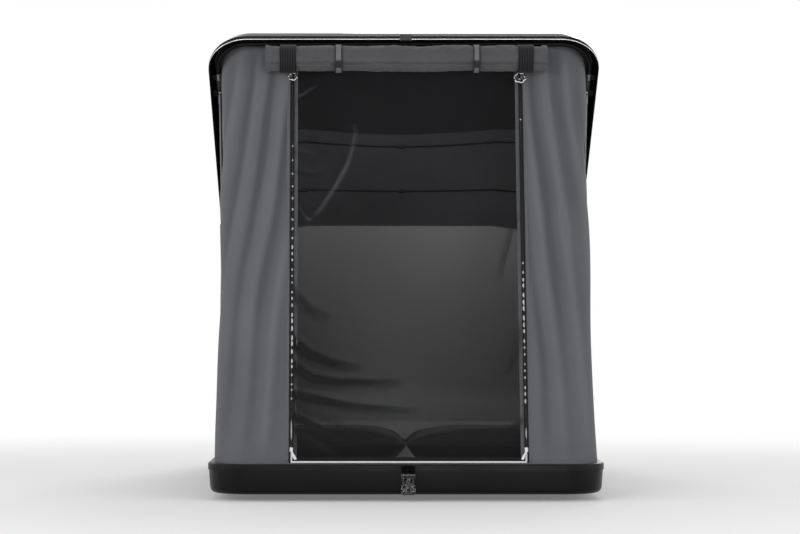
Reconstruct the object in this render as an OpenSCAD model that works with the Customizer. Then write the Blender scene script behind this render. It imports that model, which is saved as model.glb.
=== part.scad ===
// Hard-shell rooftop tent: a shallow moulded base, a moulded lid hinged at the rear
// and held open by two gas struts, and fabric walls between the two rims.
// X runs across the tent, +Y from the door to the hinges, +Z up. Millimetres.

/* [Base] */
// Width of the base over its rim band
base_w = 1300; // [1200:5:1450]
// Length of the base over its rim band
base_l = 2100; // [2050:10:2300]
// Corner radius of the base in plan
corner_r = 140; // [110:5:170]
// Height of the tray below the rim band
tray_h = 76; // [66:1:100]
// Height of the rim band
rim_h = 22; // [18:1:30]
// How far the rim band stands proud of the tray
rim_proud = 3; // [2:0.5:5]
// Width of the rim band's top face
rim_w = 30; // [26:1:36]
// Wall thickness of the moulded shells
shell_t = 4; // [3:0.5:5]
// Radius along the lower edge of the tray
tray_r = 20; // [12:1:26]

/* [Lid] */
// Opening angle of the lid
lid_a = 42; // [36:1:46]
// Depth of the lid above its rim
lid_h = 162; // [145:1:185]
// Height of the upright band round the lid
lid_band = 24; // [20:1:30]
// How far the lid's front edge reaches past the base
lid_front = 25; // [20:1:32]
// How far the lid's sides reach past the base at the front corners
lid_side = 33; // [28:1:40]
// How far the lid's sides reach past the base at the hinges
lid_side_rear = 12; // [10:1:20]
// Gap between the two rims when the lid is shut
rim_gap = 5; // [5:0.5:8]
// Diameter of the bent tube that stiffens the lid's front
bow_d = 17; // [14:0.5:19]
// Distance of the bent tube's ends behind the lid's front edge
bow_back = 193; // [179:1:199]

/* [Hinges] */
// Number of hinges
hinge_n = 3; // [2:1:4]
// Width of one hinge
hinge_w = 84; // [60:4:100]
// Distance of the hinge axis behind the rim band
hinge_back = 14; // [12:0.5:18]
// Diameter of the hinge pins
pin_d = 8; // [6:0.5:10]

/* [Gas struts] */
// Distance of the lower strut pivots from the hinge axis
strut_low = 1000; // [900:10:1080]
// Distance of the upper strut pivots behind the lid's front edge
strut_back = 259; // [239:1:279]
// Diameter of the strut cylinders
strut_d = 18; // [15:0.5:18]
// Diameter of the strut rods
rod_d = 8; // [6:0.5:8]
// Room left between a cylinder's two ends and the pivots when the lid is shut
strut_room = 65; // [60:1:100]

/* [Fabric] */
// Distance of the fabric inside the rim band at the base
wall_in = 23; // [18:1:28]
// Thickness of the wall fabric
cloth_t = 2; // [1.5:0.5:3]
// How far the walls curve inwards at mid height
wall_sag = 8; // [0:1:14]
// Half width of the door at its foot
door_low = 382; // [320:2:400]
// Half width of the door at its head
door_high = 396; // [330:2:410]
// Offset of the door from the centre line
door_off = 8; // [0:1:12]
// Diameter of the rolled-up outer door
roll_d = 96; // [80:2:104]
// Length of the rolled-up outer door
roll_l = 968; // [880:4:1000]

/* [Bedding] */
// Thickness of the mattress
mattress_h = 64; // [50:1:70]
// Thickness of a pillow
pillow_h = 118; // [90:1:125]
// Length of a pillow
pillow_l = 590; // [500:5:600]
// Width of a pillow
pillow_w = 360; // [300:5:400]

/* [Mounting rails] */
// Height of the mounting rails
rail_h = 22; // [18:1:30]
// Width of the mounting rails
rail_w = 44; // [40:1:60]
// Length of the mounting rails
rail_l = 1200; // [1000:10:1300]
// Distance between the rails' bolt lines
bolt_x = 760; // [600:10:860]
// Distance between the bolts along a rail
bolt_y = 900; // [700:10:940]
// Diameter of the bolt holes
bolt_d = 8.5; // [6.5:0.5:10.5]

/* [Latch] */
// Width of the latch
latch_w = 40; // [36:1:48]
// Offset of the latch from the centre line
latch_off = 5; // [0:1:8]
// Height of the latch pivot above the rails' underside
latch_z = 72; // [70:1:76]

/* [Hidden] */
$fn = 48;
fit = 0.3;
corner_n = 10;
tray_z = rail_h;
rim_z0 = tray_z + tray_h;
rim_z = rim_z0 + rim_h;
lid_z = rim_z + rim_gap;
front_y = -base_l / 2;
rear_y = base_l / 2;
hinge_y = rear_y + hinge_back;
hinge_z = rim_z + rim_gap / 2;
tray_hx = base_w / 2 - rim_proud;
lid_fy = front_y - lid_front;
lid_hx = base_w / 2 + lid_side;
bow_end = hinge_y - lid_fy - bow_back;
strut_high = hinge_y - lid_fy - strut_back;
strut_l = strut_high - strut_low - strut_room;
lid_hx_rear = base_w / 2 + lid_side_rear;
floor_z = tray_z + shell_t;
panel_t = 12;
mattress_z = floor_z + panel_t + 2 * fit;
bed_z = mattress_z + mattress_h;
strut_x = base_w / 2;
strut_z = rim_z + 20;
door_y = front_y + wall_in;
cover = 2.5;

// Turns a point of the shut lid to where it is with the lid open
function tilt(p) = [
  p[0],
  hinge_y + (p[1] - hinge_y) * cos(lid_a) + (p[2] - hinge_z) * sin(lid_a),
  hinge_z - (p[1] - hinge_y) * sin(lid_a) + (p[2] - hinge_z) * cos(lid_a)];

module opened() {
  translate([0, hinge_y, hinge_z]) rotate([-lid_a, 0, 0]) translate([0, -hinge_y, -hinge_z])
    children();
}

// Closed outline with rounded corners between the half width hx, the front y0 and the rear y1
function outline(hx, y0, y1, r, n = corner_n) = [
  for (c = [0 : 3])
    for (i = [0 : n])
      let (a = 180 + 90 * c + 90 * i / n,
        cx = (c == 0 || c == 3) ? -hx + r : hx - r,
        cy = (c == 0 || c == 1) ? y0 + r : y1 - r)
      [cx + r * cos(a), cy + r * sin(a)]];

// The lid narrows a little towards the hinges
function lid_scale(y) = 1 - (lid_hx - lid_hx_rear) / lid_hx * (y - lid_fy) / (hinge_y - lid_fy);

function base_ring(in, z) = [
  for (p = outline(base_w / 2 - in, front_y + in, rear_y - in, max(corner_r - in, 6)))
    [p[0], p[1], z]];

// One ring of the lid: inset at the sides, at the front and at the rear, and height above its rim
function lid_ring(side, front, back, z) = [
  for (p = outline(lid_hx - side, lid_fy + front, rear_y - back,
      max(corner_r - min(side, front, back), 24)))
    [p[0] * lid_scale(p[1]), p[1], lid_z + z]];

// Joins equal rings of points into a solid, with flat ends or as a closed loop
module loft(rings, loop = false) {
  m = len(rings);
  n = len(rings[0]);
  k = loop ? m : m - 1;
  points = [for (r = rings) for (p = r) p];
  sides = [
    for (i = [0 : k - 1])
      for (j = [0 : n - 1])
        for (t = [0, 1])
          let (a = i * n + j, b = i * n + (j + 1) % n,
            c = ((i + 1) % m) * n + (j + 1) % n, d = ((i + 1) % m) * n + j)
          t == 0 ? [a, c, b] : [a, d, c]];
  ends = loop ? [] : [[for (j = [0 : n - 1]) j], [for (j = [n - 1 : -1 : 0]) (m - 1) * n + j]];
  faces = concat(sides, ends);
  turned = volume(points, faces) > 0;
  polyhedron(points = points, convexity = 8,
    faces = turned ? [for (f = faces) [for (i = [len(f) - 1 : -1 : 0]) f[i]]] : faces);
}

// Signed volume inside a set of faces, which tells which way round they run
function volume(points, faces) = add([
  for (f = faces)
    for (i = [1 : len(f) - 2])
      cross(points[f[i]] - points[0], points[f[i + 1]] - points[0]) * (points[f[0]] - points[0])]) / 6;
function add(v) = [for (x = v) 1] * v;

// A round tube along a row of points that lie in one plane with the normal up
function tube_rings(path, r, up, n = 14) = [
  for (i = [0 : len(path) - 1])
    let (a = path[max(i - 1, 0)], b = path[min(i + 1, len(path) - 1)],
      d = (b - a) / norm(b - a), s = cross(d, up))
    [for (j = [0 : n - 1]) path[i] + r * (s * cos(360 * j / n) + up * sin(360 * j / n))]];

function lerp(a, b, t) = a + (b - a) * t;

// ---- shells ----

// The tray's outer and inner skins, from the top of the wall down and back up
function tray_profile() = concat(
  [[rim_proud, rim_z - cover - fit], [rim_proud, rim_z0 - 2]],
  [[rim_proud + 3, tray_z + tray_r + 6]],
  [for (a = [0 : 18 : 90])
    [rim_proud + 4 + tray_r * (1 - cos(a)), tray_z + tray_r * (1 - sin(a))]]);
function tray_inner() = concat(
  [for (a = [90 : -18 : 0])
    [rim_proud + shell_t + 4 + (tray_r - shell_t) * (1 - cos(a)),
     floor_z + (tray_r - shell_t) * (1 - sin(a))]],
  [[rim_proud + shell_t + 3, tray_z + tray_r + 6]],
  [[rim_proud + shell_t, rim_z0 - 2], [rim_proud + shell_t, rim_z - cover - fit]]);

module base_tray() {
  outer = [for (p = tray_profile()) base_ring(p[0], p[1])];
  inner = [for (p = tray_inner()) base_ring(p[0], p[1])];
  color("#2b2b2d") {
    difference() {
      loft([for (i = [len(outer) - 1 : -1 : 0]) outer[i]]);
      loft(inner_rings(inner));
    }
  }
}

// The hollow of a tray, carried on past the top so that it cuts cleanly
function inner_rings(inner) = concat(inner,
  [[for (p = inner[len(inner) - 1]) [p[0], p[1], p[2] + 5]]]);

// Inverted U section that clips over the tray's wall, with a wide top face
module rim_band() {
  section = [
    [0, rim_z0], [0, rim_z - 3], [0.9, rim_z - 0.9], [3, rim_z],
    [rim_w - 2, rim_z], [rim_w, rim_z - 2], [rim_w, rim_z - 8], [rim_w - cover, rim_z - 8],
    [rim_w - cover, rim_z - cover],
    [rim_proud + shell_t + fit + cover, rim_z - cover],
    [rim_proud + shell_t + fit + cover, rim_z0 + 4], [rim_proud + shell_t + fit, rim_z0 + 4],
    [rim_proud + shell_t + fit, rim_z - cover], [rim_proud - fit, rim_z - cover],
    [rim_proud - fit, rim_z0]];
  color("#3a3a3d") loft([for (p = section) base_ring(p[0], p[1])], loop = true);
}

module floor_panel() {
  in = rim_proud + shell_t + tray_r + 2;
  color("#b9a27c") loft([base_ring(in, floor_z + fit), base_ring(in, floor_z + fit + panel_t)]);
}

module mattress() {
  in = rim_w + 4;
  steps = [[14, 0], [4, 4], [0, 14], [0, mattress_h - 14], [4, mattress_h - 4], [14, mattress_h]];
  color("#8d8f92") loft([for (s = steps) base_ring(in + s[0], mattress_z + s[1])]);
}

// One pillow: soft edges, full in the middle, pinched at the corners
module pillow() {
  n = 40;
  levels = [[0.80, 0], [0.93, 0.10], [0.99, 0.26], [1, 0.42], [0.98, 0.58], [0.92, 0.74],
    [0.80, 0.88], [0.62, 0.96], [0.40, 1]];
  color("#2f2f31") loft([
    for (l = levels)
      [for (j = [0 : n - 1])
        let (a = 360 * j / n, c = cos(a), s = sin(a))
        [pillow_l / 2 * l[0] * sign(c) * pow(abs(c), 0.5),
         pillow_w / 2 * l[0] * sign(s) * pow(abs(s), 0.5),
         pillow_h * l[1]]]]);
}

module pillows() {
  for (s = [-1, 1])
    translate([s * (pillow_l / 2 + 6), front_y + rim_w + 30 + pillow_w / 2, bed_z + fit]) pillow();
}

// ---- mounting rails ----

// Channel section with an upper flange under the tray and a lower flange for the bolts
module mount_rails() {
  flange = 3;
  color("#b4b7ba")
    for (s = [-1, 1])
      translate([s * bolt_x / 2, 0, 0])
        difference() {
          translate([-rail_w / 2, -rail_l / 2, 0]) cube([rail_w, rail_l, rail_h]);
          translate([s > 0 ? -rail_w / 2 - 1 : -rail_w / 2 + flange, -rail_l / 2 - 1, flange])
            cube([rail_w - flange + 1, rail_l + 2, rail_h - 2 * flange]);
          for (e = [-1, 1])
            translate([0, e * bolt_y / 2, -1]) cylinder(d = bolt_d, h = flange + 2);
        }
}

// ---- hinges ----

knuckles = 5;
knuckle_w = hinge_w / knuckles;
knuckle_r = hinge_back / 2 + 1;
hinge_span = base_w - 2 * corner_r - hinge_w;

// The knuckles with an even or odd number, bored for the pin
module knuckle_row(odd) {
  for (k = [0 : knuckles - 1])
    if (k % 2 == odd)
      translate([-hinge_w / 2 + k * knuckle_w + fit, 0, 0])
        rotate([0, 90, 0]) cylinder(r = knuckle_r, h = knuckle_w - 2 * fit);
}

module leaf(odd, up) {
  back = hinge_back - fit;
  difference() {
    union() {
      knuckle_row(odd);
      for (k = [0 : knuckles - 1])
        if (k % 2 == odd)
          translate([-hinge_w / 2 + k * knuckle_w + fit, -back, up ? 1 : -knuckle_r])
            cube([knuckle_w - 2 * fit, back, knuckle_r - 1]);
      translate([-hinge_w / 2, -back, up ? rim_gap / 2 + 3 : -rim_gap / 2 - rim_h + 1])
        cube([hinge_w, 3, up ? lid_band - 6 : rim_h - 3]);
      for (k = [0 : knuckles - 1])
        if (k % 2 == odd)
          translate([-hinge_w / 2 + k * knuckle_w + fit, -back, up ? 1 : -rim_gap / 2 - 5])
            cube([knuckle_w - 2 * fit, 3, rim_gap / 2 + 4]);
    }
    translate([-hinge_w, 0, 0]) rotate([0, 90, 0]) cylinder(d = pin_d + 0.1, h = 2 * hinge_w);
    for (x = [-0.32, 0.32])
      translate([x * hinge_w, -back - 1, up ? rim_gap / 2 + lid_band / 2 : -rim_gap / 2 - rim_h / 2])
        rotate([-90, 0, 0]) cylinder(d = 5.2, h = 6);
  }
}

module hinge_places() {
  for (i = [0 : hinge_n - 1])
    translate([-hinge_span / 2 + hinge_span * i / (hinge_n - 1), hinge_y, hinge_z]) children();
}

module hinge_base() {
  color("#4a4c4f") hinge_places() leaf(0, false);
}

module hinge_lid() {
  color("#4a4c4f") opened() hinge_places() leaf(1, true);
}

module hinge_pins() {
  color("#c5c7c9")
    hinge_places()
      translate([-hinge_w / 2 - 2, 0, 0]) rotate([0, 90, 0]) cylinder(d = pin_d, h = hinge_w + 4);
}

// ---- lid ----

// Insets and heights of the lid's outer skin from the rim to the crown
function lid_steps() = [
  [0, 0, 0, 2], [0, 0, 0, lid_band - 6], [1, 1, 1, lid_band - 2], [4, 4, 3, lid_band + 2],
  [9, 10, 7, lid_band + 7], [34, 40, 22, lid_h * 0.44], [66, 82, 42, lid_h * 0.68],
  [96, 122, 62, lid_h * 0.83], [132, 168, 92, lid_h * 0.925], [180, 230, 140, lid_h * 0.975],
  [250, 310, 210, lid_h]];

module lid_shell() {
  steps = lid_steps();
  n = len(steps);
  outer = [for (s = steps) lid_ring(s[0], s[1], s[2], s[3])];
  inner = [for (i = [0 : n - 1])
    let (s = steps[i], t = shell_t)
    lid_ring(s[0] + t, s[1] + t, s[2] + t, i < 3 ? s[3] : s[3] - t * 0.8)];
  opened() color("#2a2a2c") {
    loft(concat([for (i = [n - 1 : -1 : 0]) outer[i]], inner));
    for (x = [-3, -1, 1, 3]) lid_rib(x * 100);
  }
}

// A long raised bead on the crown that stiffens it
module lid_rib(x) {
  len = base_l - 760;
  levels = [[22, 22, -2], [20, 20, 1], [15, 15, 5], [11, 11, 6]];
  translate([x, 40, lid_z + lid_h])
    loft([for (l = levels)
      [for (p = outline(l[0], -len / 2 - l[1], len / 2 + l[1], l[0] - 0.5, 5)) [p[0], p[1], l[2]]]]);
}

// Rounded trim pushed over the lid's lower edge
module lid_edge() {
  t = shell_t;
  section = [
    [-2.2, 2.5], [-2.2, 9], [-1.4, 11], [-fit, 11], [-fit, 2 - fit], [t + fit, 2 - fit],
    [t + fit, 11], [t + 1.4, 11], [t + 2.2, 9], [t + 2.2, 2.5], [t + 1.2, 0.6], [t / 2, 0],
    [-1.2, 0.6]];
  opened() color("#55575a")
    difference() {
      loft([for (p = section) lid_ring(p[0], p[0], p[0], p[1])], loop = true);
      hinge_places()
        translate([-hinge_w / 2 - 1, -hinge_back - 12, 0]) cube([hinge_w + 2, 20, rim_gap / 2 + 12]);
    }
}

// Quilted lining that follows the inside of the lid
module lid_liner() {
  t = shell_t + 1;
  steps = [for (i = [5 : 10]) lid_steps()[i]];
  n = len(steps);
  outer = [for (s = steps)
    lid_ring(s[0] + t + 2, s[1] + t + 2, s[2] + t + 2, s[3] - shell_t * 0.8 - fit)];
  inner = [for (s = steps) lid_ring(s[0] + t + 10, s[1] + t + 10, s[2] + t + 10, s[3] - t - 8)];
  opened() color("#77797c") loft(concat([for (i = [n - 1 : -1 : 0]) outer[i]], inner));
}

net_y0 = lid_fy + 239;
net_y1 = net_y0 + 0.395 * base_l;
net_hx = 560;
net_drop = 18;
liner_z = lid_z + lid_h - shell_t - 9;

// Height of the net's hem just under the lining, which falls towards the lid's edges
function net_z(x, y) = liner_z - fit
  - max(0, (abs(x) - 350) * 0.18) - max(0, (lid_fy + 300 - y) * 0.12);

// How far the net hangs below its hem, u across it and v along it
function net_sag(u, v) = net_drop * pow(max(0.004, 4 * u * (1 - u)), 0.8) * pow(max(0, 4 * v * (1 - v)), 0.8);

// Net pocket stretched under the front part of the lining, hung from its hem
module ceiling_net() {
  nx = 16;
  ny = 8;
  opened() color("#26262a")
    loft([for (i = [0 : nx])
      let (u = i / nx, x = lerp(-net_hx, net_hx, u))
      concat(
        [for (j = [0 : ny]) let (v = j / ny, y = lerp(net_y0, net_y1, v))
          [x, y, net_z(x, y) - net_sag(u, v)]],
        [for (j = [ny : -1 : 0]) let (v = j / ny, y = lerp(net_y0, net_y1, v))
          [x, y, net_z(x, y) - net_sag(u, v) - 2]])]);
}

// Elastic cords under the net, drawn a little towards each other at the middle
module ceiling_cords() {
  up = [0, 0, 1];
  opened() color("#1f1f21")
    for (c = [[0.42, 0.05], [0.742, 0.01]]) {
      path = [for (i = [1 : 27])
        let (u = (i + 2) / 32, v = c[0] + c[1] * (1 - pow(abs(2 * u - 1), 1.6)),
          x = lerp(-net_hx, net_hx, u), y = lerp(net_y0, net_y1, v))
        [x, y, net_z(x, y) - net_sag(u, v) - 2 - 3 - 3 * fit]];
      loft(tube_rings(path, 3, up, 8));
    }
}

bow_in = 33;
bow_r = corner_r - bow_in;
bow_z = lid_z + 16;
strut_yl = hinge_y - strut_high;
bow_yl = hinge_y - bow_end;

// The path of the bent tube: along one side, round both corners and back
function bow_path() = concat(
  [for (y = [bow_yl, lerp(bow_yl, lid_fy + bow_in + bow_r, 0.5)]) [-strut_x, y]],
  [for (i = [0 : 9]) [-strut_x + bow_r * (1 - cos(10 * i)), lid_fy + bow_in + bow_r * (1 - sin(10 * i))]],
  [for (i = [9 : -1 : 0]) [strut_x - bow_r * (1 - cos(10 * i)), lid_fy + bow_in + bow_r * (1 - sin(10 * i))]],
  [for (y = [lerp(bow_yl, lid_fy + bow_in + bow_r, 0.5), bow_yl]) [strut_x, y]]);

module bow_tube() {
  path = [for (p = bow_path()) [p[0], p[1], bow_z]];
  opened() color("#1c1c1e") loft(tube_rings(path, bow_d / 2, [0, 0, 1], 16));
}

// Sockets for the tube's ends and studs for the upper strut eyes, fixed to the lid's side walls
module lid_brackets() {
  opened() color("#8b8d90")
    for (s = [-1, 1]) {
      reach = (lid_hx - shell_t) * lid_scale(bow_yl + 4) - fit - strut_x;
      stud = (lid_hx - shell_t) * lid_scale(strut_yl + 14) - fit - strut_x;
      translate([s * strut_x, bow_yl, bow_z])
        difference() {
          union() {
            translate([0, -24, 0]) rotate([-90, 0, 0]) cylinder(d = bow_d + 3, h = 28);
            translate([s > 0 ? 7.5 : -reach, -18, -4]) cube([reach - 7.5, 22, 6]);
          }
          translate([0, -25, 0]) rotate([-90, 0, 0]) cylinder(d = bow_d + 2 * fit, h = 25 + fit);
        }
      translate([s * strut_x, strut_yl, bow_z]) {
        translate([s > 0 ? 8 : -stud, -14, -4.5]) cube([stud - 8, 28, 6.5]);
        translate([s > 0 ? 8 : -12, 0, 0]) rotate([0, 90, 0]) cylinder(d = 11, h = 4);
        translate([s > 0 ? -4.5 : -12, 0, 0]) rotate([0, 90, 0]) cylinder(d = 6, h = 16.5);
      }
    }
}

module lid_catch() {
  w = latch_w;
  opened() color("#232325")
    translate([latch_off, lid_fy, lid_z]) {
      difference() {
        translate([-w / 2, -2.2 - fit - 4, -13]) cube([w, 4, lid_band + 8]);
        for (x = [-0.3, 0.3])
          translate([x * w, -12, lid_band - 8]) rotate([-90, 0, 0]) cylinder(d = 5.2, h = 10);
      }
      translate([-w / 2 + 4, -2.2 - fit - 7.5, -13]) cube([w - 8, 4, 3]);
    }
}

// ---- gas struts ----

low = [strut_x, hinge_y - strut_low, strut_z];
high_shut = [strut_x, strut_yl, bow_z];
high = tilt(high_shut);
strut_span = norm([high[1] - low[1], high[2] - low[2]]);
strut_a = atan2(high[2] - low[2], low[1] - high[1]);

// Places its children at the lower pivot with +X along the strut
module along_strut(s) {
  translate([s * low[0], low[1], low[2]]) rotate([-strut_a, 0, 0]) rotate([0, 0, -90]) rotate([90, 0, 0])
    children();
}

module strut(s) {
  color("#1d1d1f") along_strut(s)
    difference() {
      union() {
        translate([14, 0, 0]) rotate([0, 90, 0]) cylinder(d = strut_d, h = strut_l);
        translate([0, 0, -4]) cylinder(d = 13, h = 8);
        translate([0, -5, -4]) cube([16, 10, 8]);
      }
      translate([0, 0, -10]) cylinder(d = 6.1, h = 20);
      translate([44, 0, 0]) rotate([0, 90, 0]) cylinder(d = rod_d + 0.1, h = strut_l);
    }
}

module rod(s) {
  color("#c9cbcd") along_strut(s)
    difference() {
      union() {
        translate([strut_span - strut_l + 20, 0, 0]) rotate([0, 90, 0]) cylinder(d = rod_d, h = strut_l - 34);
        translate([strut_span - 40, 0, 0]) rotate([0, 90, 0]) cylinder(d = 12, h = 34);
        translate([strut_span, 0, -4]) cylinder(d = 13, h = 8);
      }
      translate([strut_span, 0, -10]) cylinder(d = 6.1 + 0.5, h = 20);
    }
}

module strut_left() { strut(-1); }
module strut_right() { strut(1); }
module rod_left() { rod(-1); }
module rod_right() { rod(1); }

// Studs for the lower strut eyes, on plates that stand on the rim band
module strut_brackets() {
  color("#8b8d90")
    for (s = [-1, 1])
      translate([s * strut_x, low[1], 0]) {
        translate([s > 0 ? -18 : 2, -30, rim_z]) cube([16, 60, 3]);
        translate([s > 0 ? -10 : 6, -9, rim_z]) cube([4, 18, strut_z - rim_z + 9]);
        translate([s > 0 ? -10 : -4.5, 0, strut_z]) rotate([0, 90, 0]) cylinder(d = 6, h = 14.5);
      }
}

// ---- latch ----

latch_y = front_y - 8;
claw_drop = 6;

module latch_base() {
  w = latch_w;
  color("#2a2a2c")
    translate([latch_off, 0, 0]) {
      difference() {
        translate([-w / 2, front_y - 2.5, 22]) cube([w, 2.5 + rim_proud - fit, rim_z0 - 23]);
        for (x = [-0.3, 0.3])
          translate([x * w, front_y - 5, 88]) rotate([-90, 0, 0]) cylinder(d = 4.2, h = 8);
      }
      for (s = [-1, 1])
        difference() {
          translate([s > 0 ? 13 : -16, latch_y - 5, latch_z - 5]) cube([3, 10, 10]);
          translate([-20, latch_y, latch_z]) rotate([0, 90, 0]) cylinder(d = 4, h = 40);
        }
      translate([-16, latch_y, latch_z]) rotate([0, 90, 0]) cylinder(d = 4, h = 32);
    }
}

// Paddle with a neck on the fixed pin, slots for the claw's arms and a lock barrel
module latch_lever() {
  w = latch_w;
  color("#1b1b1d")
    translate([latch_off, latch_y, latch_z])
      difference() {
        union() {
          translate([-7.5, 0, 0]) rotate([0, 90, 0]) cylinder(r = 4.5, h = 15);
          translate([-7.5, -4.5, -14]) cube([15, 7, 14]);
          translate([-w / 2, -6, -w]) cube([w, 8, w - 10]);
          translate([0, 2, -w]) rotate([90, 0, 0])
            intersection() {
              cylinder(d = w, h = 8);
              translate([-w, -w, -1]) cube([2 * w, w, 10]);
            }
          translate([-11.8, 0, -claw_drop]) rotate([0, 90, 0]) cylinder(d = 3, h = 23.6);
          translate([0, -6, -34]) rotate([90, 0, 0]) cylinder(d = 13, h = 2);
        }
        translate([-20, 0, 0]) rotate([0, 90, 0]) cylinder(d = 4.1, h = 40);
        translate([-0.8, -9, -38]) cube([1.6, 4, 8]);
        for (s = [-1, 1])
          translate([s > 0 ? 7.6 : -12.6, -10, -20]) cube([5, 20, 11]);
        translate([-w / 2 - 1, -w, -w - w]) rotate([-8, 0, 0]) translate([0, w - 9, 0]) cube([w + 2, 4, w]);
      }
}

// Smooth claw plate pinned to the lever, reaching up over the rim band
module latch_claw() {
  w = latch_w - 2;
  color("#242426")
    translate([latch_off, latch_y, latch_z - claw_drop])
      difference() {
        union() {
          for (s = [-1, 1]) {
            translate([s > 0 ? 8.3 : -11.8, 0, 0]) rotate([0, 90, 0]) cylinder(r = 3.2, h = 3.5);
            translate([s > 0 ? 8.3 : -11.8, -8.5, -1.5]) cube([3.5, 8.5, 3]);
            translate([s > 0 ? 8.3 : -11.8, -8.5, -1.5]) cube([3.5, 2.5, 18]);
          }
          translate([-w / 2, -8.5, 14]) cube([w, 2.5, 36]);
          translate([-w / 2 + 5, -8.5, 47.5]) cube([w - 10, 5.5, 2.5]);
        }
        translate([-20, 0, 0]) rotate([0, 90, 0]) cylinder(d = 3.1, h = 40);
      }
}

// ---- fabric walls ----

wall_hx = base_w / 2 - wall_in;
wall_r = corner_r - wall_in;
top_hx = lid_hx - 44;
top_in = 48.5;
top_r = corner_r - 22;
top_z = lid_z + 57.5;
side_n = 12;
front_a = 3;
front_b = 12;

// Half of a wall outline, from the rear corner round the front corner to the door's edge
function half_path(hx, fy, ry, r, door) = concat(
  [for (i = [0 : side_n]) [hx, lerp(ry - wall_r, fy + r, i / side_n)]],
  [for (i = [1 : corner_n]) [hx - r * (1 - cos(90 * i / corner_n)), fy + r * (1 - sin(90 * i / corner_n))]],
  [for (i = [1 : front_a]) [lerp(hx - r, door, i / front_a), fy]]);

// The whole wall outline from the left rear, past the front, to the right rear
function wall_path(hx, fy, ry, r, door) =
  let (h = half_path(hx, fy, ry, r, door), n = len(h))
  concat(
    [for (i = [0 : n - 1]) [-h[i][0] + (i >= n - front_a ? door_off * (i - n + 1 + front_a) / front_a : 0), h[i][1]]],
    [for (i = [1 : front_b - 1]) [lerp(-door, door, i / front_b) + door_off, fy]],
    [for (i = [n - 1 : -1 : 0]) [h[i][0] + (i >= n - front_a ? door_off * (i - n + 1 + front_a) / front_a : 0), h[i][1]]]);

low_path = wall_path(wall_hx, door_y, rear_y - wall_in, wall_r, door_low);
top_path = [for (p = wall_path(top_hx, lid_fy + top_in, rear_y - wall_in, top_r, door_high))
  [p[0] * (1 - 0.012 * (p[1] - lid_fy) / 1000), p[1]]];
path_n = len(low_path);
front_i = side_n;
door_i = side_n + corner_n + front_a;
back_i = path_n - 1 - side_n;

function dir2(a, b) = (b - a) / norm(b - a);
function normal_at(i) =
  let (d = dir2(low_path[max(i - 1, 0)], low_path[min(i + 1, path_n - 1)])) [d[1], -d[0], 0];

// A point of the walls: station i along the outline, height v from 0 to 1, offset outwards
function wall_pt(i, v, out) =
  let (a = low_path[i], b = top_path[i],
    p = [a[0], a[1], rim_z + fit], q = tilt([b[0], b[1], top_z]), nrm = normal_at(i))
  lerp(p, q, v) + nrm * (out - wall_sag * 4 * v * (1 - v));

// A sheet over stations i0 to i1 and heights v0 to v1, between two offsets
module sheet(i0, i1, v0, v1, out0, out1, nv = 8) {
  loft([for (i = [i0 : i1]) concat(
    [for (k = [0 : nv]) wall_pt(i, lerp(v0, v1, k / nv), out0)],
    [for (k = [nv : -1 : 0]) wall_pt(i, lerp(v0, v1, k / nv), out1)])]);
}

door_v0 = 0.010;
door_v1 = 0.93;
zip_v1 = 0.9;
wall_len = norm(wall_pt(door_i, 1, 0) - wall_pt(door_i, 0, 0));
mid_i = path_n - 1 - door_i;

module front_wall() {
  color("#606163") {
    sheet(front_i, door_i, 0, 1, 0, cloth_t);
    sheet(mid_i, back_i, 0, 1, 0, cloth_t);
  }
}

// The strip above the door and the sill below it
module front_header() {
  color("#606163") {
    sheet(door_i, mid_i, door_v1, 1, 0, cloth_t, 2);
    sheet(door_i, mid_i, 0, door_v0, 0, cloth_t, 1);
  }
}

module side_wall_left() { color("#5c5d60") sheet(0, front_i, 0, 1, 0, cloth_t); }
module side_wall_right() { color("#5c5d60") sheet(back_i, path_n - 1, 0, 1, 0, cloth_t); }

// The low strip of fabric behind the hinges
module rear_gusset() {
  yb = rear_y - wall_in;
  hx = -top_path[0][0];
  n = 5;
  turn = [for (k = [0 : n]) 90 * k / n];
  first = cloth_t + fit;
  lo = [for (a = turn) [-wall_hx + wall_r * (1 - cos(a)), yb - (wall_r - first) * (1 - sin(a))]];
  hi = [for (a = turn) [-hx + wall_r * (1 - cos(a)), yb - 10 * sin(a) - (wall_r - first) * (1 - sin(a)),
    top_z - 34 * sin(a)]];
  pl = concat(lo, [for (i = [n : -1 : 0]) [-lo[i][0], lo[i][1]]]);
  ph = concat(hi, [for (i = [n : -1 : 0]) [-hi[i][0], hi[i][1], hi[i][2]]]);
  function side(p) = let (a = min(90, max(0, acos(max(-1, min(1, (abs(p[0]) - wall_hx + wall_r) / wall_r))))))
    [sign(p[0]) * cos(a), sin(a), 0];
  function at(p, q, v, out) = lerp([p[0], p[1], rim_z + fit], tilt(q), v) + side(p) * out;
  color("#5c5d60")
    loft([for (i = [0 : len(pl) - 1]) [
      at(pl[i], ph[i], 0, 0), at(pl[i], ph[i], 1, 0),
      at(pl[i], ph[i], 1, -cloth_t), at(pl[i], ph[i], 0, -cloth_t)]]);
}

module net_door() {
  color("#2c2c30") sheet(door_i, mid_i, door_v0, door_v1, -fit - 1, -fit, 10);
}

// Points along the door's U: down the left edge, over the foot and up the right edge
function door_u(out, in, head) = concat(
  [for (k = [0 : 12]) edge_pt(-1, lerp(head, door_v0, k / 12), out, in)],
  [for (k = [0 : 12]) edge_pt(1, lerp(door_v0, head, k / 12), out, in)]);
function edge_pt(s, v, out, in) =
  let (w = wall_pt(s < 0 ? door_i : mid_i, max(v, door_v0 + in / wall_len), out))
  [w[0] - s * in, w[1], w[2]];

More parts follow.
